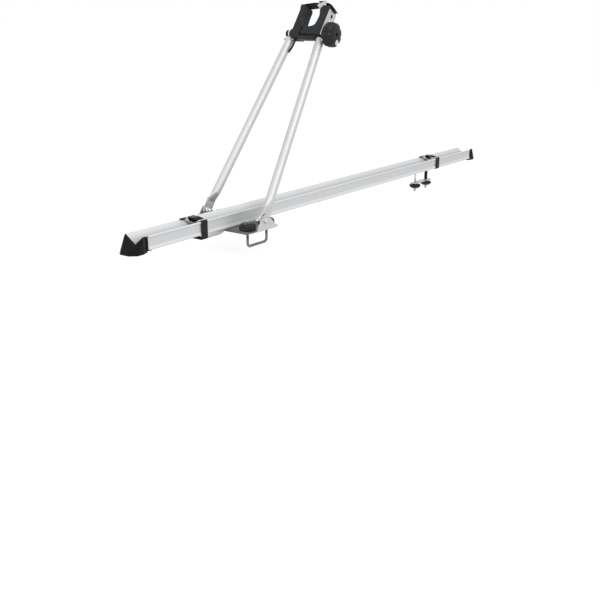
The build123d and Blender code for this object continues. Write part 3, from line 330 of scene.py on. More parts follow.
SLOTS = {
    "rail_aluminium": extruded_aluminium(),
    "tube_steel": drawn_tube(),
    "zinc_steel": zinc_plate(),
    "dark_steel": dull_rod(),
    "black_steel": powder_coat(),
    "black_plastic": moulded_plastic("black_moulding", 0.005, 0.36, gloss=0.12),
    "grey_plastic": moulded_plastic("grey_moulding", 0.018, 0.42, cool=0.06, gloss=0.16),
    "knob_plastic": moulded_plastic(
        "grip_moulding", 0.008, 0.38, grain=0.7, depth=0.008, cool=0.03, gloss=0.26
    ),
    "pad_rubber": pad_rubber(),
    "webbing": nylon_webbing(),
    "chrome_lock": polished_chrome(),
}
NODE_SLOT = {part["node"]: part["material_slot"] for part in frame["record"]["subparts"]}


# ---------------------------------------------------------------- bench tools


def take(*pieces):
    """Makes these pieces the only ones selected, with the first one active."""
    bpy.ops.object.select_all(action="DESELECT")
    for piece in pieces:
        piece.select_set(True)
    bpy.context.view_layer.objects.active = pieces[0]


@contextmanager
def editing(piece):
    """Edit mode on one piece, with all of it selected at the start."""
    take(piece)
    bpy.ops.object.mode_set(mode="EDIT")
    bpy.ops.mesh.select_all(action="SELECT")
    yield
    bpy.ops.object.mode_set(mode="OBJECT")


def choose(piece, kind, test):
    """In edit mode, selects the vertices, edges or faces whose middles pass a test."""
    bpy.ops.mesh.select_mode(type=kind)
    bpy.ops.mesh.select_all(action="DESELECT")
    bpy.ops.object.mode_set(mode="OBJECT")
    mesh = piece.data
    points = [vertex.co for vertex in mesh.vertices]
    if kind == "VERT":
        for vertex in mesh.vertices:
            vertex.select = test(vertex.co)
    elif kind == "EDGE":
        for edge in mesh.edges:
            first, second = edge.vertices
            edge.select = test((points[first] + points[second]) / 2)
    else:
        for face in mesh.polygons:
            face.select = test(face.center, face.normal)
    bpy.ops.object.mode_set(mode="EDIT")


def fresh(name):
    """Names the primitive that was just added."""
    piece = bpy.context.object
    piece.name = piece.data.name = name
    return piece


def drawn(name, points):
    """A line of vertices through points in metres, extruded one from the other."""
    bpy.ops.object.select_all(action="DESELECT")
    bpy.ops.mesh.primitive_plane_add(size=2)
    piece = fresh(name)
    with editing(piece):
        choose(piece, "VERT", lambda spot: spot.x > 0 or spot.y > 0)
        bpy.ops.mesh.delete(type="VERT")
        bpy.ops.mesh.select_all(action="SELECT")
        here = Vector((-1, -1, 0))
        bpy.ops.transform.translate(value=points[0] - here)
        for before, after in zip(points, points[1:]):
            bpy.ops.mesh.extrude_region_move(TRANSFORM_OT_translate={"value": after - before})
    return piece


def tidy_shell(piece):
    """Merges doubles and turns the faces outwards."""
    with editing(piece):
        bpy.ops.mesh.remove_doubles(threshold=MM / 200)
        bpy.ops.mesh.normals_make_consistent(inside=False)


def modified(piece, kind, **settings):
    """Adds a modifier to a piece and applies it."""
    take(piece)
    modifier = piece.modifiers.new(kind.lower(), kind)
    for key, value in settings.items():
        setattr(modifier, key, value)
    bpy.ops.object.modifier_apply(modifier=modifier.name)


def rounded(piece, width, segments=2, angle=28):
    """Breaks a piece's edges by a width in millimetres."""
    modified(
        piece,
        "BEVEL",
        width=width * MM,
        segments=segments,
        limit_method="ANGLE",
        angle_limit=math.radians(angle),
        use_clamp_overlap=False,
        miter_outer="MITER_ARC",
    )


def turned(name, profile, steps=48, place=NOTHING):
    """A solid turned about its own Z from pairs of radius and height in millimetres."""
    piece = drawn(name, [Vector((radius, 0, height)) * MM for radius, height in profile])
    with editing(piece):
        bpy.ops.mesh.spin(steps=steps, angle=FULL_TURN, center=(0, 0, 0), axis=(0, 0, 1))
    tidy_shell(piece)
    piece.data.transform(place)
    return piece


def rectangle(half_x, half_y):
    """The corners of a rectangle about its middle."""
    return [(-half_x, -half_y), (half_x, -half_y), (half_x, half_y), (-half_x, half_y)]


def prism(name, outline, low, high, place=NOTHING, soft=0.3):
    """A plate with an outline in millimetres on its own XY plane, between two heights."""
    corners = [Vector((x, y, low)) * MM for x, y in outline]
    piece = drawn(name, corners)
    with editing(piece):
        bpy.ops.mesh.edge_face_add()
        bpy.ops.mesh.extrude_region_move(
            TRANSFORM_OT_translate={"value": (0, 0, (high - low) * MM)}
        )
    tidy_shell(piece)
    if soft:
        rounded(piece, soft)
    piece.data.transform(place)
    return piece


def hexagon(name, across, low, high, place=NOTHING, dish=0.3):
    """A hexagon between two heights, its corners broken and its top turned a little hollow."""
    bpy.ops.object.select_all(action="DESELECT")
    bpy.ops.mesh.primitive_cylinder_add(
        vertices=6,
        radius=across / math.sqrt(3) * MM,
        depth=(high - low) * MM,
        location=(0, 0, (high + low) / 2 * MM),
    )
    piece = fresh(name)
    bpy.ops.object.transform_apply(location=True, rotation=True, scale=True)
    top = max(vertex.co.z for vertex in piece.data.vertices)
    with editing(piece):
        choose(piece, "EDGE", lambda spot: spot.z > top - MM / 10)
        bpy.ops.mesh.bevel(offset=across * 0.05 * MM, segments=3)
        choose(piece, "FACE", lambda spot, normal: normal.z > 0.99 and spot.z > top - MM / 10)
        bpy.ops.mesh.inset(thickness=across * 0.09 * MM)
        bpy.ops.mesh.inset(thickness=across * 0.03 * MM)
        bpy.ops.transform.translate(value=(0, 0, -dish * MM))
    piece.data.transform(place)
    return piece


def threaded(radius, low, high, pitch=1.0, start=None):
    """Profile of a rod with a chamfered tip at its high end and a thread from start to there."""
    start = low if start is None else start
    depth = pitch * 0.5
    profile = [(0, low), (radius, low), (radius, start)]
    height = start
    while height < high - 2 * pitch:
        profile += [(radius - depth, height + pitch * 0.4), (radius - depth, height + pitch * 0.5)]
        profile += [(radius, height + pitch * 0.9), (radius, height + pitch)]
        height += pitch
    return profile + [(radius, high - pitch), (radius - pitch, high), (0, high)]


def reshape(piece, move):
    """Moves each vertex by a function of its place."""
    for vertex in piece.data.vertices:
        vertex.co = move(vertex.co)


def scallops(piece, radius, lobes, depth, share, low, high):
    """Cuts finger grips into the rim of a turned knob, between two heights in millimetres."""
    pitch = FULL_TURN / lobes

    def move(spot):
        reach = math.hypot(spot.x, spot.y)
        inside = max(0.0, min(1.0, (reach / MM - radius * 0.35) / (radius * 0.65)))
        if not inside or spot.z < low * MM or spot.z > high * MM:
            return spot
        away = abs((math.atan2(spot.y, spot.x) % pitch) / pitch - 0.5) * 2
        dip = max(0.0, 1 - away / share)
        kept = 1 - depth * MM * inside * dip * dip * (3 - 2 * dip) / reach
        return Vector((spot.x * kept, spot.y * kept, spot.z))

    reshape(piece, move)


def facing(spot, direction, roll=(0, 0, 1)):
    """A place at a spot in metres whose own Z points in a direction."""
    z_axis = Vector(direction).normalized()
    y_axis = z_axis.cross(Vector(roll))
    if y_axis.length < 0.01:
        y_axis = Vector((0, 1, 0))
    y_axis.normalize()
    x_axis = y_axis.cross(z_axis)
    return Matrix.Translation(spot) @ Matrix((x_axis, y_axis, z_axis)).transposed().to_4x4()


def on_arm(reach, across, out=0):
    """A point of the arm frame, in metres."""
    return HEAD @ (Vector((reach, across, out)) * MM)


def welded(name, *pieces):
    """Joins pieces into one."""
    take(*pieces)
    bpy.ops.object.join()
    return fresh(name)


def cast(node):
    """A merged copy of a CAD node, with its flat faces in one."""
    source = frame["nodes"][node]
    piece = bpy.data.objects.new(f"{node}_shape", source.data.copy())
    bpy.context.scene.collection.objects.link(piece)
    piece.data.materials.clear()
    with editing(piece):
        bpy.ops.mesh.customdata_custom_splitnormals_clear()
        bpy.ops.mesh.remove_doubles(threshold=MM / 500)
        bpy.ops.mesh.dissolve_limited(angle_limit=math.radians(0.5))
    return piece


def pressed(node, soft):
    """A CAD node's plate or bar with its edges broken."""
    piece = cast(node)
    rounded(piece, soft, angle=35)
    return piece


def moulded(node, voxel=0.5, rounds=4):
    """A CAD node's moulding, remeshed so that all its edges are softly rounded."""
    piece = cast(node)
    modified(piece, "REMESH", mode="VOXEL", voxel_size=voxel * MM, adaptivity=0)
    modified(piece, "SMOOTH", factor=0.5, iterations=rounds)
    modified(piece, "DECIMATE", ratio=0.3)
    return piece


def finished(piece, body, slot, nodes=(), smooth=CRISP):
    """Gives a piece its material, its shading, its body and the CAD nodes it stands for."""
    piece.data.materials.clear()
    piece.data.materials.append(SLOTS[slot])
    take(piece)
    bpy.ops.object.shade_smooth_by_angle(angle=math.radians(smooth))
    if smooth < SOFT:
        modified(piece, "WEIGHTED_NORMAL", keep_sharp=True)
    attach(piece, body)
    if nodes:
        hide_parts(*nodes)
    return piece


def path_round(corners, radii, steps=6):
    """The corners of a path in millimetres with arcs in place of its inner ones."""
    path = [Vector(corners[0])]
    for before, corner, after, radius in zip(corners, corners[1:], corners[2:], radii):
        corner = Vector(corner)
        back = (Vector(before) - corner).normalized()
        ahead = (Vector(after) - corner).normalized()
        half = math.acos(max(-1.0, min(1.0, back.dot(ahead)))) / 2
        inset = radius / math.tan(half)
        middle = corner + (back + ahead).normalized() * (radius / math.sin(half))
        start = corner + back * inset - middle
        end = corner + ahead * inset - middle
        sweep = start.angle(end)
        for step in range(steps + 1):
            share = step / steps
            turn = (math.sin((1 - share) * sweep), math.sin(share * sweep))
            path.append(middle + (start * turn[0] + end * turn[1]) / math.sin(sweep))
    path.append(Vector(corners[-1]))
    return path


TAPE_THICKNESS = 1.6


def tape(name, path, width, place, strips=8):
    """A band of webbing along a path on a place's XY plane, with its run as UV in millimetres."""
    points = [Vector((x, y, -width / 2)) * MM for x, y in path]
    piece = drawn(name, points)
    with editing(piece):
        for _ in range(strips):
            bpy.ops.mesh.extrude_region_move(
                TRANSFORM_OT_translate={"value": (0, 0, width / strips * MM)}
            )
    runs = [0.0]
    for before, after in zip(points, points[1:]):
        runs.append(runs[-1] + (after - before).length)
    mesh = piece.data
    layer = mesh.uv_layers.active or mesh.uv_layers.new(name="run")
    layer.name = "run"
    for loop in mesh.loops:
        spot = mesh.vertices[loop.vertex_index].co
        flat = [(point.x - spot.x) ** 2 + (point.y - spot.y) ** 2 for point in points]
        run = runs[flat.index(min(flat))]
        layer.data[loop.index].uv = (run / MM, spot.z / MM + width)
    modified(piece, "SOLIDIFY", thickness=TAPE_THICKNESS * MM, offset=0.0)
    rounded(piece, TAPE_THICKNESS * 0.3, 3, 50)
    piece.data.transform(place)
    return piece


def bar(name, start, end, radius):
    """A round-ended bar between two points in metres."""
    span = end - start
    tip = radius * 0.5
    length = span.length / MM
    profile = [(0, 0), (radius * 0.7, 0.25 * tip), (radius, tip), (radius, length - tip)]
    profile += [(radius * 0.7, length - 0.25 * tip), (0, length)]
    return turned(name, profile, 10, facing(start, span, (0, 1, 0.1)))


def on_side(reach, across, out=0, to_far=True):
    """A place square to the sides, with its x along the arms and its z to the far or near side."""
    side = 1 if to_far else -1
    axes = Matrix((ALONG, -side * OUTWARD, (0, side, 0))).transposed().to_4x4()
    return Matrix.Translation(on_arm(reach, across, out)) @ axes


def upright(x, y, z, up=True):
    """A place that looks up or down from a point in millimetres."""
    return facing(Vector((x, y, z)) * MM, (0, 0, 1 if up else -1), (0, 1, 0))


def cut(piece, *tools):
    """Takes the tools' shapes out of a piece."""
    for tool in tools:
        modified(piece, "BOOLEAN", operation="DIFFERENCE", object=tool, solver="EXACT")
        bpy.data.objects.remove(tool)
    tidy_shell(piece)
    return piece


def rivet(name, radius, half_length, place):
    """A pin about its place's own Z with broken ends."""
    edge = 0.3
    profile = [(0, -half_length), (radius - edge, -half_length), (radius, edge - half_length)]
    profile += [(radius, half_length - edge), (radius - edge, half_length), (0, half_length)]
    return turned(name, profile, 24, place)


def ring(name, inner, outer, thickness, place, soft=0.3, steps=48):
    """A washer with softened edges."""
    profile = [
        (inner, 0),
        (outer - soft, 0),
        (outer, soft),
        (outer, thickness - soft),
        (outer - soft, thickness),
        (inner, thickness),
        (inner, 0),
    ]
    return turned(name, profile, steps, place)


def dress(piece, *nodes, smooth=CRISP):
    """Finishes a piece that stands for CAD nodes, on their body and in their slot."""
    return finished(piece, BODY[nodes[0]], NODE_SLOT[nodes[0]], nodes, smooth)


BODY = {
    node: body
    for body, nodes in frame["record"]["behaviour"]["bodies"].items()
    for node in nodes
}

for node, solid in frame["nodes"].items():
    solid.data.materials.clear()
    solid.data.materials.append(SLOTS[NODE_SLOT[node]])

# ---------------------------------------------------------------- rail, caps, base and ears

PRESSED = {
    "rail": 0.3,
    "rail_saddle": 0.6,
    "base_plate": 0.7,
    "near_ear": 0.5,
    "far_ear": 0.5,
    "jaw_plate": 0.5,
    "rear_clamp_strip": 0.4,
    "front_buckle_frame": 0.3,
    "rear_buckle_frame": 0.3,
    "head_buckle_frame": 0.3,
    "near_arm": 0.3,
    "far_arm": 0.3,
}
for node, soft in PRESSED.items():
    dress(pressed(node, soft), node)

for node in ("front_end_cap", "rear_end_cap", "head_yoke", "far_jaw", "near_jaw"):
    dress(moulded(node), node, smooth=SOFT)
for node in ("far_jaw_pad", "near_jaw_pad"):
    dress(moulded(node, voxel=0.4, rounds=3), node, smooth=SOFT)

# The rail's bright channel runs on over the caps' floors, up to their V edges
VALLEY_Z, LIP_Z, VALLEY_HALF = 16.5, 35.4, 24.2
LINING_LOW, LINING_TOP = 0.2, 0.6
LINING_REACH, LINING_TIP_REACH = 13.6, 15.5
CHANNEL_RISE = (LIP_Z - VALLEY_Z) / VALLEY_HALF


def channel_lining(inner, outward, side):
    """A thin sheet on one slope of a cap's floor, from the rail's end outwards."""
    outline = [
        (inner, 0),
        (inner + outward * LINING_REACH, 0),
        (inner + outward * LINING_TIP_REACH, VALLEY_HALF),
        (inner, VALLEY_HALF),
    ]
    sheet = prism("lining", outline, LINING_LOW, LINING_TOP, soft=0)

    def tilt(spot):
        return Vector((spot.x, side * spot.y, spot.z + VALLEY_Z * MM + spot.y * CHANNEL_RISE))

    reshape(sheet, tilt)
    tidy_shell(sheet)
    return sheet


for end, inner, outward in (("front", -286.0, -1), ("rear", 1111.5, 1)):
    slopes = [channel_lining(inner, outward, side) for side in (-1, 1)]
    finished(welded(f"{end}_channel_lining", *slopes), "base", "rail_aluminium")

# ---------------------------------------------------------------- pivots

for side, sign in (("near", -1), ("far", 1)):

    def pivot_place(across, outwards):
        spot = Vector((PIVOT_X, sign * across, PIVOT_Z)) * MM
        return facing(spot, (0, sign if outwards else -sign, 0))

    bolt = welded(
        f"{side}_pivot_screw",
        hexagon("head", 13, 0, 5.3, pivot_place(90, True)),
        turned("shank", threaded(4, 0, 19.7, 1.25, 9), 32, pivot_place(90, False)),
    )
    dress(bolt, f"{side}_pivot_bolt")
    nut = welded(
        f"{side}_pivot_locknut",
        hexagon("flats", 13, 0, 5, pivot_place(79.9, False)),
        ring("collar", 4.7, 5.85, 3, pivot_place(74.9, False), 0.7),
    )
    dress(nut, f"{side}_pivot_nut")
    insert = ring(f"{side}_locknut_insert", 4.02, 4.72, 2.3, pivot_place(74.9, False), 0.2)
    finished(insert, "base", "black_plastic")
    washer = ring(f"{side}_pivot_disc", 4.05, 8, 1.6, pivot_place(81.5, False))
    dress(washer, f"{side}_pivot_washer")
    friction = ring(f"{side}_friction_disc", 4.25, 13, 1.5, pivot_place(87, False), 0.4, 64)
    dress(friction, f"{side}_friction_washer")

# ---------------------------------------------------------------- bolts in the rail's slot


SLOT_FLOOR_Z = 8.1
SQUARE, SQUARE_HEIGHT = rectangle(6.5, 6.5), 3
ROD, ROD_BORE = 3, 3.05
SCREW_HEAD_Z = 0.1


def slot_bolt(name, x, tip, thread_start):
    """A square-headed bolt that hangs from the rail's slot down to its tip."""
    head = prism("head", SQUARE, 0, SQUARE_HEIGHT, upright(x, 0, SLOT_FLOOR_Z), 0.4)
    profile = threaded(ROD, 0, SLOT_FLOOR_Z - tip, 1.0, SLOT_FLOOR_Z - thread_start)
    return welded(name, head, turned("rod", profile, 32, upright(x, 0, SLOT_FLOOR_Z, up=False)))


base_screws = []
nuts = []
for x in (-38, 38):
    place = upright(x, 0, SCREW_HEAD_Z)
    profile = [(0, 0), (5.5, 0), (5.6, 0.1), (ROD, 2.7)] + threaded(ROD, 2.7, 11, 1.0, 7)[1:]
    screw = turned("screw", profile, 48, place)
    socket = hexagon("socket", 4, -2, 1.7, place, dish=0)
    base_screws.append(cut(screw, socket))
    place = upright(x, 0, SLOT_FLOOR_Z)
    nut = prism("nut", SQUARE, 0, SQUARE_HEIGHT, place, 0.4)
    bore = turned("bore", [(0, -1), (ROD_BORE, -1), (ROD_BORE, 4), (0, 4)], 32, place)
    nuts.append(cut(nut, bore))
dress(welded("countersunk_screws", *base_screws), "base_bolts")
dress(welded("square_slot_nuts", *nuts), "base_nuts")

REAR_RODS = {"front": 814.75, "rear": 878.75}
for end, x in REAR_RODS.items():
    dress(slot_bolt(f"rear_{end}_rod", x, -54, -16), f"rear_clamp_{end}_bolt")

sleeve_profile = [(ROD_BORE, 0), (5.8, 0), (6.2, 0.4), (6.2, 1.6), (5.8, 2), (4.6, 2.3)]
for groove in range(9):
    start = 4.5 + 3 * groove
    sleeve_profile += [(4.6, start), (4.3, start + 0.3), (4.3, start + 0.9), (4.6, start + 1.2)]
sleeve_profile += [(4.6, 31.8), (4.2, 32.2), (ROD_BORE, 32.2), (ROD_BORE, 0)]
sleeve = turned("rod_sleeve", sleeve_profile, 48, upright(REAR_RODS["rear"], 0, 5.7, up=False))
dress(sleeve, "rear_clamp_sleeve")

# ---------------------------------------------------------------- U-bolts and knobs

LEG_X = 32.75
U_BOLT_Y = 66
THREAD_Z = -16
BEND_Z = -34
for side, sign in (("near", -1), ("far", 1)):
    corners = [(-LEG_X, THREAD_Z), (-LEG_X, BEND_Z), (LEG_X, BEND_Z), (LEG_X, THREAD_Z)]
    bend = [
        Vector((x, sign * U_BOLT_Y, z)) * MM for x, z in path_round(corners, [8, 8], 10)
    ]
    rod = drawn("bend", bend)
    take(rod)
    bpy.ops.object.convert(target="CURVE")
    rod.data.bevel_depth = ROD * MM
    rod.data.bevel_resolution = 6
    rod.data.use_fill_caps = True
    bpy.ops.object.convert(target="MESH")
    rod = bpy.context.object
    legs = [
        turned("leg", threaded(ROD, 0, 37.9, 1.0), 28, upright(x, sign * U_BOLT_Y, THREAD_Z))
        for x in (-LEG_X, LEG_X)
    ]
    dress(welded(f"{side}_bent_rod", rod, *legs), f"{side}_u_bolt")


def dome(edge, skirt, hub, height, steps=10):
    """Profile of a dome from the top of a knob's skirt to its flat middle."""
    turns = [step / steps * math.pi / 2 for step in range(steps + 1)]
    return [
        (hub + (edge - hub) * math.cos(turn), skirt + (height - skirt) * math.sin(turn))
        for turn in turns
    ]


# Knobs: their radius, then the lobes' count, depth and share of the pitch
KNOB, REAR_KNOB = 18.5, 17
LOBES = (6, 2.4, 0.66)
for side, sign in (("near", -1), ("far", 1)):
    for end, x in (("front", -LEG_X), ("rear", LEG_X)):
        knob = turned(
            f"{side}_{end}_grip",
            [(0, 0.8), (4.6, 0.8), (4.8, 0), (16.4, 0), (17.8, 0.5), (KNOB, 1.8)]
            + dome(KNOB, 8, 6, 17)
            + [(5.5, 16.9), (5.1, 16.4), (5, 15.4), (0, 15.4)],
            96,
        )
        scallops(knob, KNOB, *LOBES, -1, 16.95)
        knob.data.transform(upright(x, sign * U_BOLT_Y, 3.3))
        dress(knob, f"{side}_{end}_knob", smooth=SOFT)
        seat = upright(x, sign * U_BOLT_Y, 18.5)
        collar = ring(f"{side}_{end}_grip_nut", ROD_BORE, 4.7, 1.2, seat)
        finished(collar, BODY[f"{side}_{end}_knob"], "zinc_steel")

for end, x in REAR_RODS.items():
    knob = turned(
        f"rear_clamp_{end}_grip",
        [(0, 0.3), (4.4, 0.3), (4.6, 0), (6.5, 0), (7, 0.5), (7, 2.6), (7.4, 3)]
        + [(15.4, 3), (16.6, 3.5), (REAR_KNOB, 4.6), (REAR_KNOB, 7.8), (16.4, 8.8), (15, 9.3)]
        + [(11.6, 12.4), (10.8, 12.9), (9.8, 13), (5.2, 13), (5, 12.2), (0, 12.2)],
        96,
    )
    scallops(knob, REAR_KNOB, *LOBES, 3.1, 9.4)
    knob.data.transform(upright(x, 0, -30.3, up=False))
    dress(knob, f"rear_clamp_{end}_knob", smooth=SOFT)
    seat = upright(x, 0, -42.4, up=False)
    collar = ring(f"rear_{end}_grip_nut", ROD_BORE, 4.7, 0.9, seat)
    finished(collar, BODY[f"rear_clamp_{end}_knob"], "zinc_steel")

# ---------------------------------------------------------------- clamp head

CLAMP_A = 469
BOLT_SEAT = on_side(CLAMP_A, 49)
KNOB_SEAT = on_side(CLAMP_A, -50.1, 0, False)
HEAD_BOLT_A = 452.2
HEAD_BOLT_Y = 53.8
HEAD_BOLT_OUT = 5
head_screws = []
for sign in (-1, 1):
    out_place = on_side(HEAD_BOLT_A, sign * HEAD_BOLT_Y, HEAD_BOLT_OUT, sign > 0)
    in_place = on_side(HEAD_BOLT_A, sign * HEAD_BOLT_Y, HEAD_BOLT_OUT, sign < 0)
    head_screws.append(hexagon("head", 7, 0, 3.5, out_place))
    head_screws.append(turned("shank", threaded(2, 0, 24, 0.8, 14), 24, in_place))
dress(welded("head_screws", *head_screws), "head_bolts")

shank = threaded(4, 0, 124.1, 1.25, 22)
clamp = welded(
    "clamp_rod",
    turned("shank", shank, 28, on_side(CLAMP_A, 49, 0, False)),
    hexagon("head", 12.8, 0, 5.2, BOLT_SEAT),
)
dress(clamp, "clamp_bolt")
dress(ring("clamp_spacer", 4.05, 11, 5, on_side(CLAMP_A, 44), 0.8, 64), "bolt_spacer")
cap_profile = [(0, 0), (9, 0), (9, 6.4), (8.7, 7.8), (7.8, 8.7), (6.4, 9), (4.4, 9)]
cap_profile += [(4, 8.6), (0, 8.6)]
dress(turned("clamp_rod_cap", cap_profile, 64, BOLT_SEAT), "bolt_cap")

cross = []
for reach in (486, 503):
    pan = [(0, -9), (2, -9), (2, 0), (3.4, 0), (3.5, 0.5), (2.9, 1.3), (1.6, 1.75), (0, 1.8)]
    screw = turned("screw", pan, 40)
    blades = ((1.7, 0.35), (0.35, 1.7))
    cut(screw, *[prism("blade", rectangle(*blade), 0.7, 3, soft=0) for blade in blades])
    screw.data.transform(on_side(reach, -49.5, 0, False))
    cross.append(screw)
dress(welded("jaw_plate_screws", *cross), "jaw_screws")

# The jaws' pads are ribbed across their faces: shares of a jaw's height and breadth
FAR_FRONT = [
    (0.17, 0.32),
    (0.29, 0.35),
    (0.45, 0.45),
    (0.64, 0.65),
    (0.77, 0.73),
    (0.92, 0.73),
    (1, 0.66),
]
FAR_BACK = [
    (0.17, 0.35),
    (0.29, 0.42),
    (0.45, 0.49),
    (0.64, 0.54),
    (0.77, 0.555),
    (0.92, 0.555),
    (1, 0.52),
]
NEAR_FACE = [(0.36, 0.42), (0.43, 0.49), (0.53, 0.51), (0.67, 0.52), (0.81, 0.45), (1, 0.46)]
RIB_COUNT, RIB_RADIUS, RIB_HALF = 11, 1.0, 13


def between(table, height):
    """The breadth that a table gives at a height."""
    for (low, first), (high, second) in zip(table, table[1:]):
        if height <= high:
            return first + (second - first) * (height - low) / (high - low)
    return table[-1][1]


def pad_ribs(name, front, back, low, top, breadth, first, last, sink):
    """Half-round ribs across a pad, one under the other."""
    ribs = []
    for index in range(RIB_COUNT):
        share = first + (last - first) * index / (RIB_COUNT - 1)
        reach = low + (top - low) * share
        start = on_arm(reach, breadth * between(front, share) + sink, RIB_HALF)
        end = on_arm(reach, breadth * between(back, share) + sink, -RIB_HALF)
        ribs.append(bar("rib", start, end, RIB_RADIUS))
    return welded(name, *ribs)


far_ribs = pad_ribs("far_pad_ribs", FAR_FRONT, FAR_BACK, 457.5, 541, 37, 0.29, 0.9, 0.3)
finished(far_ribs, "arms", "pad_rubber", smooth=SOFT)
near_ribs = pad_ribs("near_pad_ribs", NEAR_FACE, NEAR_FACE, 461, 537, -47, 0.42, 0.91, -0.3)
finished(near_ribs, "near_jaw_body", "pad_rubber", smooth=SOFT)

# Big knob, its steel insert and its lock
BIG_KNOB = 28
LOCK_BACK, LOCK_OUT = 11.8, 12.5
grip = turned(
    "clamp_grip",
    [(0, 0.4), (10.1, 0.4), (10.2, 0), (11.4, 0), (12, 0.7), (12, 8.4), (12.6, 9)]
    + [(25.4, 9), (27.2, 9.6), (BIG_KNOB, 11.2), (BIG_KNOB, 21.6)]
    + [(27.2, 22.2), (27.2, 22.9), (BIG_KNOB, 23.5)]
    + dome(BIG_KNOB, 24.5, 7, 34, 14)
    + [(4.8, 34), (4, 33.7), (3.6, 33), (3.6, 29), (0, 29)],
    128,
)
scallops(grip, BIG_KNOB, 8, 2.6, 0.6, 9.1, 33.9)
bore = [(0, 18), (6.6, 18), (6.6, 40), (0, 40)]
lock_spot = Matrix.Translation(Vector((-LOCK_BACK, -LOCK_OUT, 0)) * MM)
cut(grip, turned("bore", bore, 48, lock_spot))
grip.data.transform(KNOB_SEAT)
dress(grip, "clamp_knob", smooth=SOFT)
dress(ring("clamp_grip_insert", 4.05, 10, 1.5, KNOB_SEAT), "knob_insert")

barrel = turned(
    "lock_barrel",
    [(0, -12), (6.3, -12), (6.3, -0.6), (5.7, 0), (5, 0), (4.8, -0.4), (0, -0.4)],
    64,
)
cut(barrel, prism("slit", rectangle(3.5, 0.7), -3.4, 2, soft=0))
barrel.data.transform(on_side(CLAMP_A - LOCK_BACK, -81.9, -LOCK_OUT, False))
dress(barrel, "lock_cylinder")

# ---------------------------------------------------------------- webbing and buckles

HEAD_BAND, HEAD_TAIL, WHEEL_BAND, WHEEL_TAIL = 22, 6, 19, 8
strap_path = path_round([(530, 40.3), (541.8, 40.3), (547, 5), (545.4, -14)], [1, 8])
dress(tape("head_band", strap_path, HEAD_BAND, HEAD), "head_strap")
flap_path = path_round([(547.15, -26), (545.5, -35.9), (540.5, -46), (531, -55)], [8, 8])
dress(tape("head_band_flap", flap_path, HEAD_BAND, HEAD), "strap_flap")
tail_path = path_round([(451.95, 28), (435.5, 28.4), (419, 33)], [16])
dress(tape("head_band_tail", tail_path, HEAD_TAIL, HEAD, strips=3), "strap_tail")

place = HEAD @ Matrix.Translation(Vector((544.5, -26, 0)) * MM)
dress(rivet("head_buckle_rivet", 1.8, 15, place), "head_buckle_pin")
ridges = [
    bar("ridge", on_arm(551.7, across, -9), on_arm(551.7, across, 9), 0.8)
    for across in (-8, -10.6, -13.2, -15.8)
]
dress(welded("head_buckle_handle", pressed("head_buckle_lever", 0.5), *ridges), "head_buckle_lever")

RAIL_Z = 6
WHEEL_STRAPS = {"front": (-126.75, -9.1), "rear": (898.25, -1.1)}
ACROSS_RAIL = Matrix(((0, 0, 1), (1, 0, 0), (0, 1, 0))).to_4x4()
ALONG_RAIL = Matrix(((1, 0, 0), (0, 0, 1), (0, 1, 0))).to_4x4()
LOOSE_END = [(0, 0), (-4, 0.1), (-9, 0.4), (-12.8, 0.2)]
# The lever's top falls across the rail, and its ridges follow it
LEVER_TOP, LEVER_FALL, LEVER_START, LEVER_LENGTH = 35.2, 2.6, -1.25, 14.75
RIDGE_HALF, RIDGE_RADIUS = 8.4, 0.75
for end, (x, strap_low) in WHEEL_STRAPS.items():
    section = Matrix.Translation(Vector((x, 0, RAIL_Z)) * MM) @ ACROSS_RAIL
    loop = [
        (-13.4, 25.52),
        (-23.5, 30.5),
        (-27.1, 30.5),
        (-27.1, strap_low),
        (27.1, strap_low),
        (27.1, 30.5),
        (23.5, 30.5),
        (13.5, 28.54),
        (-1.5, 26.86),
    ]
    band = tape("band", path_round(loop, [1.6] * (len(loop) - 2), 4), WHEEL_BAND, section)
    tail_place = Matrix.Translation(Vector((x - 8, 22.3, 36.5)) * MM) @ ALONG_RAIL
    tail = tape("tail", LOOSE_END, WHEEL_TAIL, tail_place, strips=4)
    dress(welded(f"{end}_wheel_band", band, tail), f"{end}_wheel_strap")

    place = section @ Matrix.Translation(Vector((13.5, 32.4, 0)) * MM)
    dress(rivet(f"{end}_buckle_rivet", 1.4, 12, place), f"{end}_buckle_pin")

    ridges = []
    for across in (-5.5, -8.5, -11.5, -14.5):
        height = LEVER_TOP + LEVER_FALL * (across - LEVER_START) / LEVER_LENGTH
        tips = [section @ (Vector((across, height, tip)) * MM) for tip in (-RIDGE_HALF, RIDGE_HALF)]
        ridges.append(bar("ridge", *tips, RIDGE_RADIUS))
    lever = welded(f"{end}_buckle_handle", pressed(f"{end}_buckle_lever", 0.5), *ridges)
    dress(lever, f"{end}_buckle_lever")

# ---------------------------------------------------------------- room, lights and camera

FLOOR_Z = -55 * MM


def seen_white(tree, most):
    """Up to most for what the camera, a reflection or glass sees, and 0 for the rest."""
    path = tree.node("ShaderNodeLightPath").socket.node.outputs
    seen = Signal(tree, path["Is Camera Ray"]) + Signal(tree, path["Is Glossy Ray"])
    seen = seen + Signal(tree, path["Is Transmission Ray"])
    return seen.math("MINIMUM", seen, most)


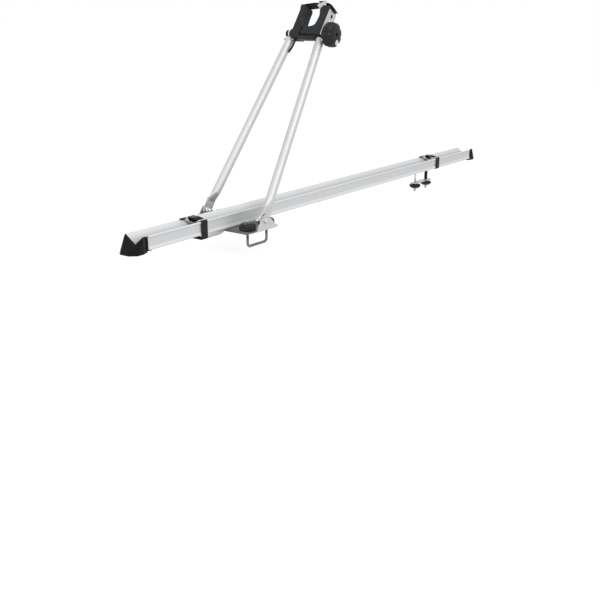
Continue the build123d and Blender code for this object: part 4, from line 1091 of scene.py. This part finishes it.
bpy.ops.object.select_all(action="DESELECT")
bpy.ops.mesh.primitive_plane_add(size=60, location=(0, 0, FLOOR_Z))
floor = fresh("floor")
paper = Finish("floor_paper", Base_Color=grey(0.9), Roughness=0.9)
fibres = paper.noise(paper.place((40, 40, 40)), 2.0)
paper.feed(Roughness=0.85 + 0.1 * fibres)
glow = paper.node("ShaderNodeEmission", inputs={"Color": grey(1.0), "Strength": 1.13})
mixed = paper.node(
    "ShaderNodeMixShader",
    inputs={0: seen_white(paper, 0.8), 1: Signal(paper, paper.shader.outputs["BSDF"]), 2: glow},
)
paper.plug(paper.nodes["Material Output"].inputs["Surface"], mixed)
floor.data.materials.append(paper.material)

world = bpy.data.worlds.new("studio")
bpy.context.scene.world = world
world.use_nodes = True
sky = Tree(world.node_tree.nodes, world.node_tree.links)
strength = 0.55 + 0.45 * seen_white(sky, 1.0)
sky.plug(sky.nodes["Background"].inputs["Color"], grey(1.0))
sky.plug(sky.nodes["Background"].inputs["Strength"], strength)


MIDDLE = Vector((0.35, 0.0, 0.15))


def softbox(name, spot, size, power):
    """A square lamp in metres and watts that looks from a spot at the carrier's middle."""
    bpy.ops.object.select_all(action="DESELECT")
    bpy.ops.object.light_add(type="AREA", location=spot)
    lamp = bpy.context.object
    lamp.name = lamp.data.name = name
    lamp.data.size = size
    lamp.data.energy = power
    lamp.rotation_mode = "QUATERNION"
    lamp.rotation_quaternion = (MIDDLE - Vector(spot)).to_track_quat("-Z", "Y")


softbox("key_lamp", (-0.6, -2.4, 2.6), 1.6, 53)
softbox("fill_lamp", (-2.6, 0.4, 1.4), 1.4, 16)
softbox("rim_lamp", (1.6, 2.2, 2.2), 1.4, 19)

bpy.ops.object.camera_add()
camera = bpy.context.object
camera.name = "photo_camera"
camera.location = (-1.4843, -1.2866, 0.4645)
heading, pitch = math.radians(36.616), math.radians(18.156)
gaze = Vector(
    (math.cos(heading) * math.cos(pitch), math.sin(heading) * math.cos(pitch), -math.sin(pitch))
)
camera.rotation_mode = "QUATERNION"
camera.rotation_quaternion = gaze.to_track_quat("-Z", "Y")
camera.data.sensor_width = 36
camera.data.lens = 53.72
camera.data.clip_start, camera.data.clip_end = 0.05, 100
bpy.context.scene.camera = camera
bpy.context.scene.view_settings.view_transform = "Standard"
